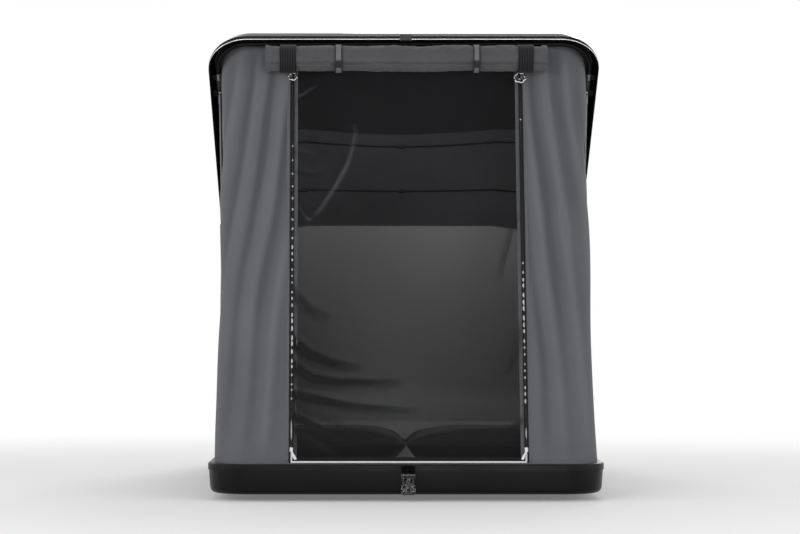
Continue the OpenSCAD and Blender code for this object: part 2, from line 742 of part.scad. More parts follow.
// A flat band beside the door's edge, between two distances from it and two offsets
module door_band(in0, in1, out0, out1, head) {
  a = door_u(out0, in0, head);
  b = door_u(out0, in1, head);
  c = door_u(out1, in1, head);
  d = door_u(out1, in0, head);
  loft([for (i = [0 : len(a) - 1]) [a[i], b[i], c[i], d[i]]]);
}

module door_binding() { color("#8e9092") door_band(6, 19, -3 * fit - 2.2, -3 * fit - 1, door_v1); }

module door_zip() {
  color("#e6e6e6") door_band(-1, 4, cloth_t + fit, cloth_t + 3, zip_v1);
  color("#d9dadb")
    for (s = [-1, 1])
      let (p = edge_pt(s, 0.03, 5.4, 2))
      translate(p) translate([-4, -3, -6]) cube([8, 3, 34]);
}

wall_top = wall_pt(door_i, 1, cloth_t);
wall_foot = wall_pt(door_i, 0, cloth_t);
wall_lean = atan((wall_top[1] - wall_foot[1]) / (wall_top[2] - wall_foot[2]));
roll_gap = roll_d / 2 + 0.5 + 1.6 + fit;
roll_c = let (p = wall_pt(door_i, 0.934, cloth_t))
  [door_off, p[1] - roll_gap * cos(wall_lean), p[2] + roll_gap * sin(wall_lean)];

// The outer door rolled up under the lid's front edge
module rolled_door() {
  n = 20;
  m = 24;
  color("#535356")
    loft([for (i = [0 : m])
      let (u = i / m, e = min(u, 1 - u) * m, r = roll_d / 2 * (e == 0 ? 0.86 : 1))
      [for (j = [0 : n - 1]) roll_c + [lerp(-roll_l / 2, roll_l / 2, u), r * sin(360 * j / n), r * cos(360 * j / n)]]]);
}

// Wide elastic straps and narrow buckled ones round the roll
module roll_straps() {
  module ring(x, w, t) {
    translate([x, roll_c[1], roll_c[2]]) rotate([0, 90, 0])
      difference() {
        cylinder(d = roll_d + 1 + 2 * t, h = w, center = true);
        cylinder(d = roll_d + 1, h = w + 2, center = true);
      }
  }
  color("#28282a") {
    ring(-0.413 * roll_l, 56, 1.6);
    ring(0.432 * roll_l, 54, 1.6);
    ring(-0.2335 * roll_l, 24, 1.6);
    ring(0.2572 * roll_l, 22, 1.6);
  }
}

// Zipped window covers on the side walls
module window(i0, i1) { color("#58595c") sheet(i0, i1, 0.28, 0.74, cloth_t + fit, cloth_t + fit + 2, 5); }
module window_left() { window(5, 11); }
module window_right() { window(path_n - 12, path_n - 6); }

base_tray();
rim_band();
floor_panel();
mattress();
pillows();
mount_rails();
hinge_base();
hinge_pins();
strut_brackets();
latch_base();
latch_lever();
latch_claw();
lid_shell();
lid_edge();
lid_liner();
ceiling_net();
ceiling_cords();
bow_tube();
lid_brackets();
hinge_lid();
lid_catch();
strut_left();
strut_right();
rod_left();
rod_right();
front_wall();
front_header();
side_wall_left();
side_wall_right();
rear_gusset();
net_door();
door_binding();
door_zip();
rolled_door();
roll_straps();
window_left();
window_right();
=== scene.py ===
# Hard-shell rooftop tent, dressed from the mounting rails up to the lid and then the fabric.
import math

import bmesh
import bpy
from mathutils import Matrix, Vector, noise


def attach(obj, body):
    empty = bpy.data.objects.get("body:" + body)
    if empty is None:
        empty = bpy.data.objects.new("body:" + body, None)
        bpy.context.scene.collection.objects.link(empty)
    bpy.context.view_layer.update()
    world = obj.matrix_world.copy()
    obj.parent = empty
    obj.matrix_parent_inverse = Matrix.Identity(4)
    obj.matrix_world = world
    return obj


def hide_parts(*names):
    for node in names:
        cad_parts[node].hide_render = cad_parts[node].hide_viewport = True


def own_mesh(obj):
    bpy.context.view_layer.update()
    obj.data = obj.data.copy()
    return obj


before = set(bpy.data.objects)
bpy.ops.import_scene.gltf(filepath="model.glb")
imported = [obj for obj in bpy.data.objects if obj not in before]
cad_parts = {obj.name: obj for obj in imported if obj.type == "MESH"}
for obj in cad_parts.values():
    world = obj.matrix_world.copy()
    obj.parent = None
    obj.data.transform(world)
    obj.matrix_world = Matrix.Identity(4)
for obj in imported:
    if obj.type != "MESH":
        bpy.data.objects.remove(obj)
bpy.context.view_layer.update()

# ---- Camera and studio ----
# The camera stands in front of the door, a little to its left and a third of the tent's height
# up, square to the front. A pale floor, a white surround and seven soft lamps light the tent.


def linked(name, data):
    """An object with its data, in the scene."""
    made = bpy.data.objects.new(name, data)
    bpy.context.collection.objects.link(made)
    return made


def rgb(r, g, b):
    """Linear colour of an sRGB value from 0 to 255, for a shader's socket."""
    line = [c / 255 / 12.92 if c < 11 else ((c / 255 + 0.055) / 1.055) ** 2.4 for c in (r, g, b)]
    return (*line, 1.0)


def add(tree, kind, inputs=None, **settings):
    """Adds a node, and sets or wires each input by its name or number."""
    made = tree.nodes.new(kind)
    for key, value in settings.items():
        setattr(made, key, value)
    for key, value in (inputs or {}).items():
        if isinstance(value, bpy.types.NodeSocket):
            tree.links.new(value, made.inputs[key])
        else:
            made.inputs[key].default_value = value
    return made


def math_node(tree, operation, a, b=0.0):
    return add(tree, "ShaderNodeMath", {0: a, 1: b}, operation=operation).outputs[0]


def mix_colour(tree, share, a, b):
    return add(tree, "ShaderNodeMix", {0: share, 6: a, 7: b}, data_type="RGBA").outputs[2]


def own_place(tree):
    """The point's place in the object's own frame."""
    return add(tree, "ShaderNodeTexCoord").outputs["Object"]


def mottle(tree, place, scale, detail, **more):
    """Cloudy noise over a place, from 0 to 1."""
    values = {"Vector": place, "Scale": scale, "Detail": detail, **more}
    return add(tree, "ShaderNodeTexNoise", values).outputs["Fac"]


camera_data = bpy.data.cameras.new("studio_camera")
camera_data.lens = 102.67
camera_data.sensor_width = 36
camera_data.shift_x = 0.0375
camera_data.shift_y = 0.07
camera = linked("studio_camera", camera_data)
camera.location = (-0.118, -8.41, 0.577)
camera.rotation_euler = (math.pi / 2, 0, 0)
bpy.context.scene.camera = camera
bpy.context.scene.view_settings.view_transform = "Standard"

world = bpy.data.worlds.new("studio_surround")
world.use_nodes = True
bpy.context.scene.world = world
air = world.node_tree
air.nodes.clear()
WHITE = (1, 1, 1, 1)
seen = add(air, "ShaderNodeLightPath").outputs
lit = add(air, "ShaderNodeBackground", {"Color": WHITE, "Strength": 0.30})
white = add(air, "ShaderNodeBackground", {"Color": WHITE, "Strength": 1.0})
shown = math_node(air, "MAXIMUM", seen["Is Camera Ray"], seen["Is Glossy Ray"])
shown = math_node(air, "MAXIMUM", shown, seen["Is Transmission Ray"])
both = add(air, "ShaderNodeMixShader", {0: shown, 1: lit.outputs[0], 2: white.outputs[0]})
add(air, "ShaderNodeOutputWorld", {"Surface": both.outputs[0]})

floor_mesh = bpy.data.meshes.new("studio_floor")
floor_mesh.from_pydata([(-30, -20, 0), (30, -20, 0), (30, 40, 0), (-30, 40, 0)], [], [(0, 1, 2, 3)])
studio_floor = linked("studio_floor", floor_mesh)
floor_paint = bpy.data.materials.new("studio_floor")
floor_paint.use_nodes = True
paint = floor_paint.node_tree
floor_shader = paint.nodes["Principled BSDF"]
cloud = mottle(paint, own_place(paint), 1.5, 3)
shade = mix_colour(paint, cloud, (0.93, 0.93, 0.93, 1), (0.96, 0.96, 0.96, 1))
paint.links.new(shade, floor_shader.inputs["Base Color"])
away = add(paint, "ShaderNodeVectorMath", {0: own_place(paint)}, operation="LENGTH")
far_off = add(paint, "ShaderNodeMapRange", {0: away.outputs["Value"], 1: 1.6, 2: 4.0},
              interpolation_type="SMOOTHSTEP")
by_camera = add(paint, "ShaderNodeLightPath").outputs["Is Camera Ray"]
from_camera = math_node(paint, "MULTIPLY", far_off.outputs[0], by_camera)
plain_white = add(paint, "ShaderNodeEmission", {"Color": WHITE, "Strength": 1.0})
blended = add(paint, "ShaderNodeMixShader",
              {0: from_camera, 1: floor_shader.outputs[0], 2: plain_white.outputs[0]})
paint.links.new(blended.outputs[0], paint.nodes["Material Output"].inputs["Surface"])
floor_shader.inputs["Roughness"].default_value = 0.9
floor_shader.inputs["Specular IOR Level"].default_value = 0.1
floor_shader.inputs["Emission Strength"].default_value = 0.16
floor_shader.inputs["Emission Color"].default_value = WHITE
floor_mesh.materials.append(floor_paint)

for lamp_name, place, aim, size, power in (
    ("front_left_lamp", (-3.4, -6.6, 3.0), (0, -0.8, 0.7), 2.6, 84),
    ("front_right_lamp", (4.4, -5.6, 2.2), (0, -0.8, 0.6), 2.2, 44),
    ("door_lamp", (0.6, -7.6, 0.5), (0, 0.2, 0.9), 2.0, 88),
    ("left_lamp", (-5.2, -2.4, 1.5), (-0.5, -0.6, 0.7), 2.4, 52),
    ("right_lamp", (5.4, -2.2, 1.3), (0.5, -0.6, 0.6), 2.4, 42),
    ("top_lamp", (0.0, 1.8, 6.0), (0, 0.2, 0.6), 4.0, 80),
    ("rear_lamp", (1.5, 6.5, 3.2), (0, 0, 0.6), 3.5, 110),
):
    lamp_data = bpy.data.lights.new(lamp_name, "AREA")
    lamp_data.shape = "SQUARE"
    lamp_data.size = size
    lamp_data.energy = power
    lamp = linked(lamp_name, lamp_data)
    lamp.location = place
    lamp.rotation_euler = (Vector(aim) - Vector(place)).to_track_quat("-Z", "Y").to_euler()

# ---- Base tray ----
# One shallow tub vacuum-formed from black ABS sheet, with a pebbled skin, upright sides and a
# rounded lower edge. Its upper edge is held all round by the rim band.
BASE_HALF, BASE_END, BASE_CORNER = 0.65, 1.05, 0.14


def outline(half_width, front, rear, radius, steps=20):
    """Plan outline with rounded corners, from the middle of the left side round the front."""
    line = []
    for corner in range(4):
        cx = -half_width + radius if corner in (0, 3) else half_width - radius
        cy = front + radius if corner in (0, 1) else rear - radius
        for i in range(steps + 1):
            a = math.radians(180 + 90 * corner + 90 * i / steps)
            line.append((cx + radius * math.cos(a), cy + radius * math.sin(a)))
    return line


def base_ring(inset, z):
    """The base's outline, moved inwards by inset, at height z."""
    radius = max(BASE_CORNER - inset, 0.006)
    plan = outline(BASE_HALF - inset, -BASE_END + inset, BASE_END - inset, radius)
    return [(x, y, z) for x, y in plan]


def piece(name, points, faces, sharp=35):
    """A mesh object with its faces outward and its edges smooth below the sharp angle."""
    mesh = bpy.data.meshes.new(name)
    mesh.from_pydata([tuple(p) for p in points], [], faces)
    shape = bmesh.new()
    shape.from_mesh(mesh)
    if shape.calc_volume(signed=True) < 0:
        bmesh.ops.reverse_faces(shape, faces=shape.faces)
    shape.to_mesh(mesh)
    shape.free()
    mesh.shade_smooth()
    mesh.set_sharp_from_angle(angle=math.radians(sharp))
    return linked(name, mesh)


def loft(name, rings, loop=False, sharp=35):
    """A closed solid through equal rings of points, with flat ends or joined end to end."""
    m, n = len(rings), len(rings[0])
    faces = []
    for i in range(m if loop else m - 1):
        for j in range(n):
            k, a = (i + 1) % m, (j + 1) % n
            faces.append((i * n + j, i * n + a, k * n + a, k * n + j))
    if not loop:
        faces += [tuple(range(n - 1, -1, -1)), tuple((m - 1) * n + j for j in range(n))]
    return piece(name, [p for ring in rings for p in ring], faces, sharp)


def arc_steps(inset, z, radius, steps):
    """Rounded lower edge of the tray, from its upright side to its flat bottom."""
    turns = [math.radians(90 * i / steps) for i in range(steps + 1)]
    return [(inset + radius * (1 - math.cos(a)), z + radius * (1 - math.sin(a))) for a in turns]


tray_out = [(0.003, 0.1172), (0.003, 0.096), (0.006, 0.048)] + arc_steps(0.007, 0.022, 0.020, 8)
tray_in = [(0.007, 0.1172), (0.007, 0.096), (0.010, 0.048)] + arc_steps(0.011, 0.026, 0.016, 8)
tray = loft("tray_tub", [base_ring(*p) for p in tray_in[::-1] + tray_out], sharp=50)


def shader_group(name, inputs, outputs):
    """An empty group of shader nodes with named inputs and outputs."""
    tree = bpy.data.node_groups.new(name, "ShaderNodeTree")
    for title, kind, value in inputs:
        socket = tree.interface.new_socket(title, in_out="INPUT", socket_type=kind)
        if value is not None:
            socket.default_value = value
    for title, kind in outputs:
        tree.interface.new_socket(title, in_out="OUTPUT", socket_type=kind)
    return tree, tree.nodes.new("NodeGroupInput"), tree.nodes.new("NodeGroupOutput")


# Pebbled moulding grain, with a slow change of tone and faint scuffs.
moulded_grain, grain_in, grain_out = shader_group(
    "moulded_grain", [("Position", "NodeSocketVector", None),
                      ("Grain", "NodeSocketFloat", 900.0), ("Scuffs", "NodeSocketFloat", 35.0)],
    [("Height", "NodeSocketFloat"), ("Tone", "NodeSocketFloat"), ("Scuff", "NodeSocketFloat")])
spot, grain_scale = grain_in.outputs["Position"], grain_in.outputs["Grain"]
pebble = add(moulded_grain, "ShaderNodeTexVoronoi", {"Vector": spot, "Scale": grain_scale})
fine = mottle(moulded_grain, spot, grain_scale, 3)
slow = mottle(moulded_grain, spot, 3.0, 3)
rubs = mottle(moulded_grain, spot, grain_in.outputs["Scuffs"], 8, Roughness=0.7)
clear = add(moulded_grain, "ShaderNodeMapRange", {0: rubs, 1: 0.52, 2: 0.72})
coarse_part = math_node(moulded_grain, "MULTIPLY", pebble.outputs["Distance"], 0.7)
fine_part = math_node(moulded_grain, "MULTIPLY", fine, 0.3)
moulded_grain.links.new(math_node(moulded_grain, "ADD", coarse_part, fine_part),
                        grain_out.inputs["Height"])
moulded_grain.links.new(slow, grain_out.inputs["Tone"])
moulded_grain.links.new(clear.outputs[0], grain_out.inputs["Scuff"])


def material(name, **plain):
    """A material with its Principled shader, whose even values are set on the shader itself."""
    made = bpy.data.materials.new(name)
    made.use_nodes = True
    shader = made.node_tree.nodes["Principled BSDF"]
    for key, value in plain.items():
        shader.inputs[key.replace("_", " ")].default_value = value
    return made, made.node_tree, shader


def spread(tree, value, low, high, to_low, to_high):
    return add(tree, "ShaderNodeMapRange",
               {0: value, 1: low, 2: high, 3: to_low, 4: to_high}).outputs[0]


def bump(tree, shader, height, strength, distance):
    relief = add(tree, "ShaderNodeBump",
                 {"Height": height, "Strength": strength, "Distance": distance})
    tree.links.new(relief.outputs["Normal"], shader.inputs["Normal"])


def moulding(name, dark, light, rough, grain, relief, specular=0.25):
    """Moulded plastic: two near tones, worn a little smoother or duller by handling."""
    made, tree, shader = material(name, Specular_IOR_Level=specular)
    skin = add(tree, "ShaderNodeGroup", {}, node_tree=moulded_grain)
    tree.links.new(own_place(tree), skin.inputs["Position"])
    skin.inputs["Grain"].default_value = grain
    tree.links.new(mix_colour(tree, skin.outputs["Tone"], dark, light), shader.inputs["Base Color"])
    tree.links.new(spread(tree, skin.outputs["Scuff"], 0, 1, rough, rough + 0.14),
                   shader.inputs["Roughness"])
    bump(tree, shader, skin.outputs["Height"], relief, 0.0004)
    return made


tray_skin = moulding("tray_moulding", rgb(8, 8, 9), rgb(17, 17, 19), 0.32, 800.0, 0.22, 0.12)
tray.data.materials.append(tray_skin)
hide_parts("base_tray")
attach(tray, "base")

# ---- Rim band ----
# Black-anodised aluminium extrusion of an inverted U section, bent round the tub's upper edge.
# It stands 3 mm proud of the tub, and its flat top carries the fabric's foot.
band_section = [(0, 0.098), (0, 0.1165), (0.0004, 0.1180), (0.0014, 0.1192), (0.003, 0.120),
                (0.028, 0.120), (0.0294, 0.1194), (0.030, 0.118), (0.030, 0.112), (0.0275, 0.112),
                (0.0275, 0.1175), (0.0098, 0.1175), (0.0098, 0.102), (0.0073, 0.102),
                (0.0073, 0.1175), (0.0027, 0.1175), (0.0027, 0.098)]
band = loft("rim_extrusion", [base_ring(*p) for p in band_section], loop=True, sharp=40)

# Drawn metal: fine lines along the extrusion, with slow and small changes of sheen.
drawn_lines, drawn_in, drawn_out = shader_group(
    "drawn_lines",
    [("Position", "NodeSocketVector", None), ("Stretch", "NodeSocketVector", (3.0, 3.0, 900.0))],
    [("Height", "NodeSocketFloat"), ("Tone", "NodeSocketFloat"), ("Sheen", "NodeSocketFloat")])
stretched = add(drawn_lines, "ShaderNodeVectorMath",
                {0: drawn_in.outputs["Position"], 1: drawn_in.outputs["Stretch"]},
                operation="MULTIPLY")
hair = mottle(drawn_lines, stretched.outputs[0], 1.0, 4)
patch = mottle(drawn_lines, drawn_in.outputs["Position"], 14.0, 5)
slow = mottle(drawn_lines, drawn_in.outputs["Position"], 2.5, 2)
drawn_lines.links.new(hair, drawn_out.inputs["Height"])
drawn_lines.links.new(slow, drawn_out.inputs["Tone"])
drawn_lines.links.new(patch, drawn_out.inputs["Sheen"])


def metal(name, dark, light, rough, stretch=(3.0, 3.0, 900.0), metallic=1.0, relief=0.12,
          specular=0.5):
    """Bare or coated metal with drawn lines and an uneven sheen."""
    made, tree, shader = material(name, Metallic=metallic, Specular_IOR_Level=specular)
    lines = add(tree, "ShaderNodeGroup", {}, node_tree=drawn_lines)
    tree.links.new(own_place(tree), lines.inputs["Position"])
    lines.inputs["Stretch"].default_value = stretch
    tree.links.new(mix_colour(tree, lines.outputs["Tone"], dark, light),
                   shader.inputs["Base Color"])
    tree.links.new(spread(tree, lines.outputs["Sheen"], 0.3, 0.7, rough, rough + 0.12),
                   shader.inputs["Roughness"])
    bump(tree, shader, lines.outputs["Height"], relief, 0.0002)
    return made


band_metal = metal("rim_aluminium", rgb(15, 15, 16), rgb(26, 26, 28), 0.34, metallic=0.4,
                   specular=0.12)
band.data.materials.append(band_metal)
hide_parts("rim_band")
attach(band, "base")


def dress(finish, *nodes):
    """Gives a CAD node its finish on every material slot."""
    for node in nodes:
        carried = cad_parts[node]
        if not carried.material_slots:
            carried.data.materials.append(finish)
        for place in carried.material_slots:
            place.material = finish


# ---- Floor board ----
# Birch plywood, 12 mm thick, with a clear matt finish. It is laid loose on the tub's bottom, and
# the mattress covers it.
board_wood, wood, wood_shader = material("floor_board", Specular_IOR_Level=0.3)
wood_place = add(wood, "ShaderNodeMapping",
                 {"Vector": own_place(wood), "Scale": (22.0, 1.6, 160.0)})
wood_grain = mottle(wood, wood_place.outputs[0], 1.4, 7, Distortion=0.6)
wood_tone = mix_colour(wood, wood_grain, rgb(176, 146, 104), rgb(214, 190, 150))
wood.links.new(wood_tone, wood_shader.inputs["Base Color"])
wood.links.new(spread(wood, wood_grain, 0, 1, 0.55, 0.75), wood_shader.inputs["Roughness"])
bump(wood, wood_shader, wood_grain, 0.15, 0.0004)
dress(board_wood, "floor_panel")

# ---- Mattress ----
# A 64 mm foam slab in a pale polyester cover, boxed with a side band between two piped seams.
# The cover bellies a little between rows of tufts; it lies on the floor board.
MATTRESS_HALF, MATTRESS_END = 0.613, 1.013
TUFTS = [(x, y) for x in (-0.38, 0.0, 0.38) for y in (-0.78, -0.39, 0.0, 0.39, 0.78)]


def clamp(value, low=0.0, high=1.0):
    return max(low, min(high, value))


def cushion_panel(half_width, front, rear, radius, height, cols, rows):
    """Points of a soft panel over a grid that is squeezed into a rounded outline."""
    points = []
    for j in range(rows + 1):
        for i in range(cols + 1):
            u, v = 2 * i / cols - 1, 2 * j / rows - 1
            x, y = u * half_width, (front + rear) / 2 + v * (rear - front) / 2
            dx = max(0, abs(x) - half_width + radius)
            dy = max(0, abs(y - (front + rear) / 2) - (rear - front) / 2 + radius)
            reach = math.hypot(dx, dy)
            if min(dx, dy) > 0 and reach > 0:
                most = max(dx, dy)
                x -= math.copysign(dx - dx * most / reach, x)
                y -= math.copysign(dy - dy * most / reach, y - (front + rear) / 2)
            points.append((x, y, height(x, y, max(abs(u), abs(v)))))
    return points


def mattress_top(x, y, edge):
    tuft = min(math.hypot(x - tx, y - ty) for tx, ty in TUFTS)
    hollow = 0.007 * math.exp(-((tuft / 0.045) ** 2))
    belly = 0.0035 * noise.noise(Vector((x * 4.5, y * 4.5, 3.1)))
    return 0.0995 - 0.011 * edge ** 10 - hollow + belly * (1 - edge ** 6)


def mattress_foot(x, y, edge):
    return 0.0388 + 0.008 * edge ** 14


def layered_faces(cols, rows):
    """Faces of two grids of points, of which the second is the lower and is turned over."""
    faces = []
    for layer in (0, 1):
        for j in range(rows):
            for i in range(cols):
                a = layer * (rows + 1) * (cols + 1) + j * (cols + 1) + i
                quad = (a, a + 1, a + cols + 2, a + cols + 1)
                faces.append(quad if layer == 0 else quad[::-1])
    return faces


def grid_rim(cols, rows):
    """Numbers of a grid's outer points, once round."""
    near = list(range(cols)) + [j * (cols + 1) + cols for j in range(rows)]
    far = [rows * (cols + 1) + i for i in range(cols, 0, -1)]
    return near + far + [j * (cols + 1) for j in range(rows, 0, -1)]


cols, rows, side_rows = 44, 72, 5
plan = (MATTRESS_HALF, -MATTRESS_END, MATTRESS_END, 0.106)
top_points = cushion_panel(*plan, mattress_top, cols, rows)
low_points = cushion_panel(*plan, mattress_foot, cols, rows)
mattress_points = top_points + low_points
mattress_faces = layered_faces(cols, rows)
rim = grid_rim(cols, rows)
bands = [rim]
for k in range(1, side_rows):
    t = k / side_rows
    level = []
    for a in rim:
        p, q = Vector(top_points[a]), Vector(low_points[a])
        mid = p.lerp(q, t)
        out = 0.0025 * math.sin(math.pi * t)
        middle = Vector((0, clamp(mid.y, -0.4, 0.4), mid.z))
        mattress_points.append(mid + (mid - middle).normalized() * out)
        level.append(len(mattress_points) - 1)
    bands.append(level)
bands.append([a + len(top_points) for a in rim])
for upper, lower in zip(bands, bands[1:]):
    for k in range(len(upper)):
        n = (k + 1) % len(upper)
        mattress_faces.append((upper[k], lower[k], lower[n], upper[n]))
mattress = piece("mattress_pad", mattress_points, mattress_faces, 180)

# Woven cloth: crossed threads on the piece's own UV map in metres, with soft stains of tone.
cloth_weave, weave_in, weave_out = shader_group(
    "cloth_weave", [("Map", "NodeSocketVector", None), ("Position", "NodeSocketVector", None),
                    ("Threads", "NodeSocketFloat", 1600.0)],
    [("Height", "NodeSocketFloat"), ("Tone", "NodeSocketFloat"), ("Fleck", "NodeSocketFloat")])
threads = add(cloth_weave, "ShaderNodeVectorMath",
              {0: weave_in.outputs["Map"], 3: weave_in.outputs["Threads"]}, operation="SCALE")
axes = add(cloth_weave, "ShaderNodeSeparateXYZ", {0: threads.outputs[0]})
warp = math_node(cloth_weave, "SINE", axes.outputs[0])
weft = math_node(cloth_weave, "SINE", axes.outputs[1])
crossed = math_node(cloth_weave, "MULTIPLY", warp, weft)
slow = mottle(cloth_weave, weave_in.outputs["Position"], 5.0, 4)
fleck = mottle(cloth_weave, weave_in.outputs["Position"], 260.0, 4)
cloth_weave.links.new(crossed, weave_out.inputs["Height"])
cloth_weave.links.new(slow, weave_out.inputs["Tone"])
cloth_weave.links.new(fleck, weave_out.inputs["Fleck"])


def cloth(name, dark, light, rough, threads_per_m=1600.0, relief=0.25, sheen=0.15, on_map=True,
          specular=0.2, fold_shade=0.0, ribs=0.0):
    """Woven cloth in two near tones; on_map lays the weave along the piece's own UV map.

    With a fold-shade share, the piece's own fold attribute paints the tops of its folds lighter and
    their hollows darker: painted light and shade.
    With ribs, that many ribs a metre run round the piece, with painted shade in the grooves
    between them."""
    made, tree, shader = material(name, Specular_IOR_Level=specular, Sheen_Weight=sheen,
                                  Sheen_Roughness=0.5)
    where = add(tree, "ShaderNodeTexCoord")
    weave = add(tree, "ShaderNodeGroup", {}, node_tree=cloth_weave)
    tree.links.new(where.outputs["UV" if on_map else "Object"], weave.inputs["Map"])
    tree.links.new(where.outputs["Object"], weave.inputs["Position"])
    weave.inputs["Threads"].default_value = threads_per_m
    clouded = math_node(tree, "MULTIPLY", weave.outputs["Tone"], 0.6)
    flecked = math_node(tree, "MULTIPLY", weave.outputs["Fleck"], 0.4)
    mottled = math_node(tree, "ADD", clouded, flecked)
    if ribs:
        across = add(tree, "ShaderNodeSeparateXYZ", {0: where.outputs["Object"]}).outputs[0]
        # Painted shade in the grooves between the ribs.
        groove_shade = math_node(tree, "SINE", math_node(tree, "MULTIPLY", across, 2 * math.pi * ribs))
        mottled = math_node(tree, "ADD", mottled, math_node(tree, "MULTIPLY", groove_shade, 0.7))
    # Painted light and shade: fold tops lighter and hollows darker, from the piece's fold
    # attribute.
    if fold_shade:
        height = add(tree, "ShaderNodeAttribute", attribute_name="fold_shade")
        mottled = math_node(tree, "ADD", mottled,
                            math_node(tree, "MULTIPLY", height.outputs["Fac"], fold_shade))
    tree.links.new(mix_colour(tree, mottled, dark, light), shader.inputs["Base Color"])
    tree.links.new(spread(tree, weave.outputs["Fleck"], 0.3, 0.7, rough - 0.05, rough + 0.05),
                   shader.inputs["Roughness"])
    bump(tree, shader, weave.outputs["Height"], relief, 0.0003)
    return made


mattress_cloth = cloth("mattress_cover", rgb(222, 223, 224), rgb(240, 241, 241), 0.85, 1100.0, 0.3,
                       0.2, on_map=False)
mattress.data.materials.append(mattress_cloth)
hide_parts("mattress")
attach(mattress, "base")


def tube(name, path, radius, sides=10, closed=False):
    """Round tube along a path of points, with closed ends or joined end to end."""
    path = [Vector(p) for p in path]
    rings = []
    side = None
    for i, p in enumerate(path):
        before = path[i - 1] if (i > 0 or closed) else p
        after = path[(i + 1) % len(path)] if (i < len(path) - 1 or closed) else p
        ahead = (after - before).normalized()
        if side is None:
            side = ahead.orthogonal().normalized()
        side = (side - ahead * side.dot(ahead)).normalized()
        up = ahead.cross(side)
        r = radius(i) if callable(radius) else radius
        turns = [2 * math.pi * k / sides for k in range(sides)]
        rings.append([p + r * (side * math.cos(a) + up * math.sin(a)) for a in turns])
    return loft(name, rings, loop=closed, sharp=60)


piping_cloth = cloth("binding_dark", rgb(38, 38, 40), rgb(52, 52, 55), 0.8, 2400.0, 0.3, 0.1,
                     on_map=False)
for title, level in (("upper", 0.0885), ("lower", 0.0470)):
    plan = outline(MATTRESS_HALF, -MATTRESS_END, MATTRESS_END, 0.104, 12)
    seam = tube("mattress_piping_" + title, [(x, y, level) for x, y in plan], 0.0024, 8,
                closed=True)
    seam.data.materials.append(piping_cloth)
    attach(seam, "base")

# ---- Pillows ----
# Two hollow-fibre pillows in dark cotton cases, side by side at the door end, full in the middle
# and drawn thin at the seam that runs round them. The cloth is blown up by simulation.
SIDE_NAMES = {-1: "left", 1: "right"}
PILLOW_LOWEST, PILLOW_HIGHEST = 0.1032, 0.2330


def bake(made):
    """Turns what the modifiers make into the piece's own mesh."""
    graph = bpy.context.evaluated_depsgraph_get()
    graph.update()
    mesh = bpy.data.meshes.new_from_object(made.evaluated_get(graph), preserve_all_data_layers=True,
                                           depsgraph=graph)
    made.modifiers.clear()
    made.data = mesh
    return made


def puff(made, voxel, pressure, cap, frames=20):
    """Blows a closed cloth shape up by simulation, and lets no point move further than cap."""
    even = made.modifiers.new("even", "REMESH")
    even.mode = "VOXEL"
    even.voxel_size = voxel
    bake(made)
    start = [v.co.copy() for v in made.data.vertices]
    soft = made.modifiers.new("soft", "CLOTH")
    soft.settings.use_pressure = True
    soft.settings.uniform_pressure_force = pressure
    soft.settings.effector_weights.gravity = 0
    soft.settings.quality = 5
    soft.point_cache.frame_start = 1
    soft.point_cache.frame_end = frames
    for step in range(1, frames + 1):
        bpy.context.scene.frame_set(step)
    bake(made)
    bpy.context.scene.frame_set(1)
    for v, p in zip(made.data.vertices, start):
        moved = v.co - p
        if moved.length > cap:
            v.co = p + moved.normalized() * cap
    made.data.shade_smooth()
    return made


pillow_case = cloth("pillow_cover", rgb(16, 16, 18), rgb(26, 26, 28), 0.85, 1500.0, 0.3, 0.08,
                    on_map=False)


def pillow_fill(u, v):
    """Share of the pillow's full thickness at a point, from its seam to its crown."""
    return max(0.0, 1 - abs(u) ** 3.0) ** 0.62 * max(0.0, 1 - abs(v) ** 2.6) ** 0.5


for side, title in SIDE_NAMES.items():
    length, width, cx, cy, seam_z = 0.574, 0.344, side * 0.2895, -0.810, 0.178
    cols, rows = 56, 36
    points = []
    for layer in (0, 1):
        for j in range(rows + 1):
            for i in range(cols + 1):
                u = math.sin(math.pi * (i / cols - 0.5))
                v = math.sin(math.pi * (j / rows - 0.5))
                x = u * length / 2 * (1 - 0.03 * v * v * (1 - abs(u)))
                y = v * width / 2 * (1 - 0.06 * (1 - abs(u)) * abs(v))
                full = pillow_fill(u, v)
                ripple = noise.noise(Vector((x * 11 + side * 3, y * 9, 0.4)))
                crease = 0.007 * ripple * full * (1 - full ** 4 * 0.5)
                if layer == 0:
                    z = seam_z + 0.003 + full * 0.051 + crease
                else:
                    z = seam_z - 0.003 - full * 0.071
                points.append((cx + x, cy + y, max(z, 0.1045)))
    n = (rows + 1) * (cols + 1)
    faces = layered_faces(cols, rows)
    rim = grid_rim(cols, rows)
    for k in range(len(rim)):
        a, b = rim[k], rim[(k + 1) % len(rim)]
        faces.append((a, a + n, b + n, b))
    seam_line = [(Vector(points[a]) + Vector(points[a + n])) / 2 for a in rim]
    pillow = piece("pillow_" + title, points, faces, 180)
    puff(pillow, 0.006, 4.0, 0.008)
    # The remeshed cloth loses its thin ends, so each pillow is drawn out to its full length again.
    reach = [side * v.co.x for v in pillow.data.vertices]
    nearest, farthest = min(reach), max(reach)
    for v in pillow.data.vertices:
        v.co.z = clamp(v.co.z, PILLOW_LOWEST, PILLOW_HIGHEST)
        v.co.x = side * (0.0022
                         + (side * v.co.x - nearest) * (length + 0.002) / (farthest - nearest))
    pillow.data.materials.append(pillow_case)
    if side < 0:
        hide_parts("pillows")
    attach(pillow, "base")
    edge = tube("pillow_seam_" + title, seam_line, 0.0022, 6, closed=True)
    edge.data.materials.append(pillow_case)
    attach(edge, "base")

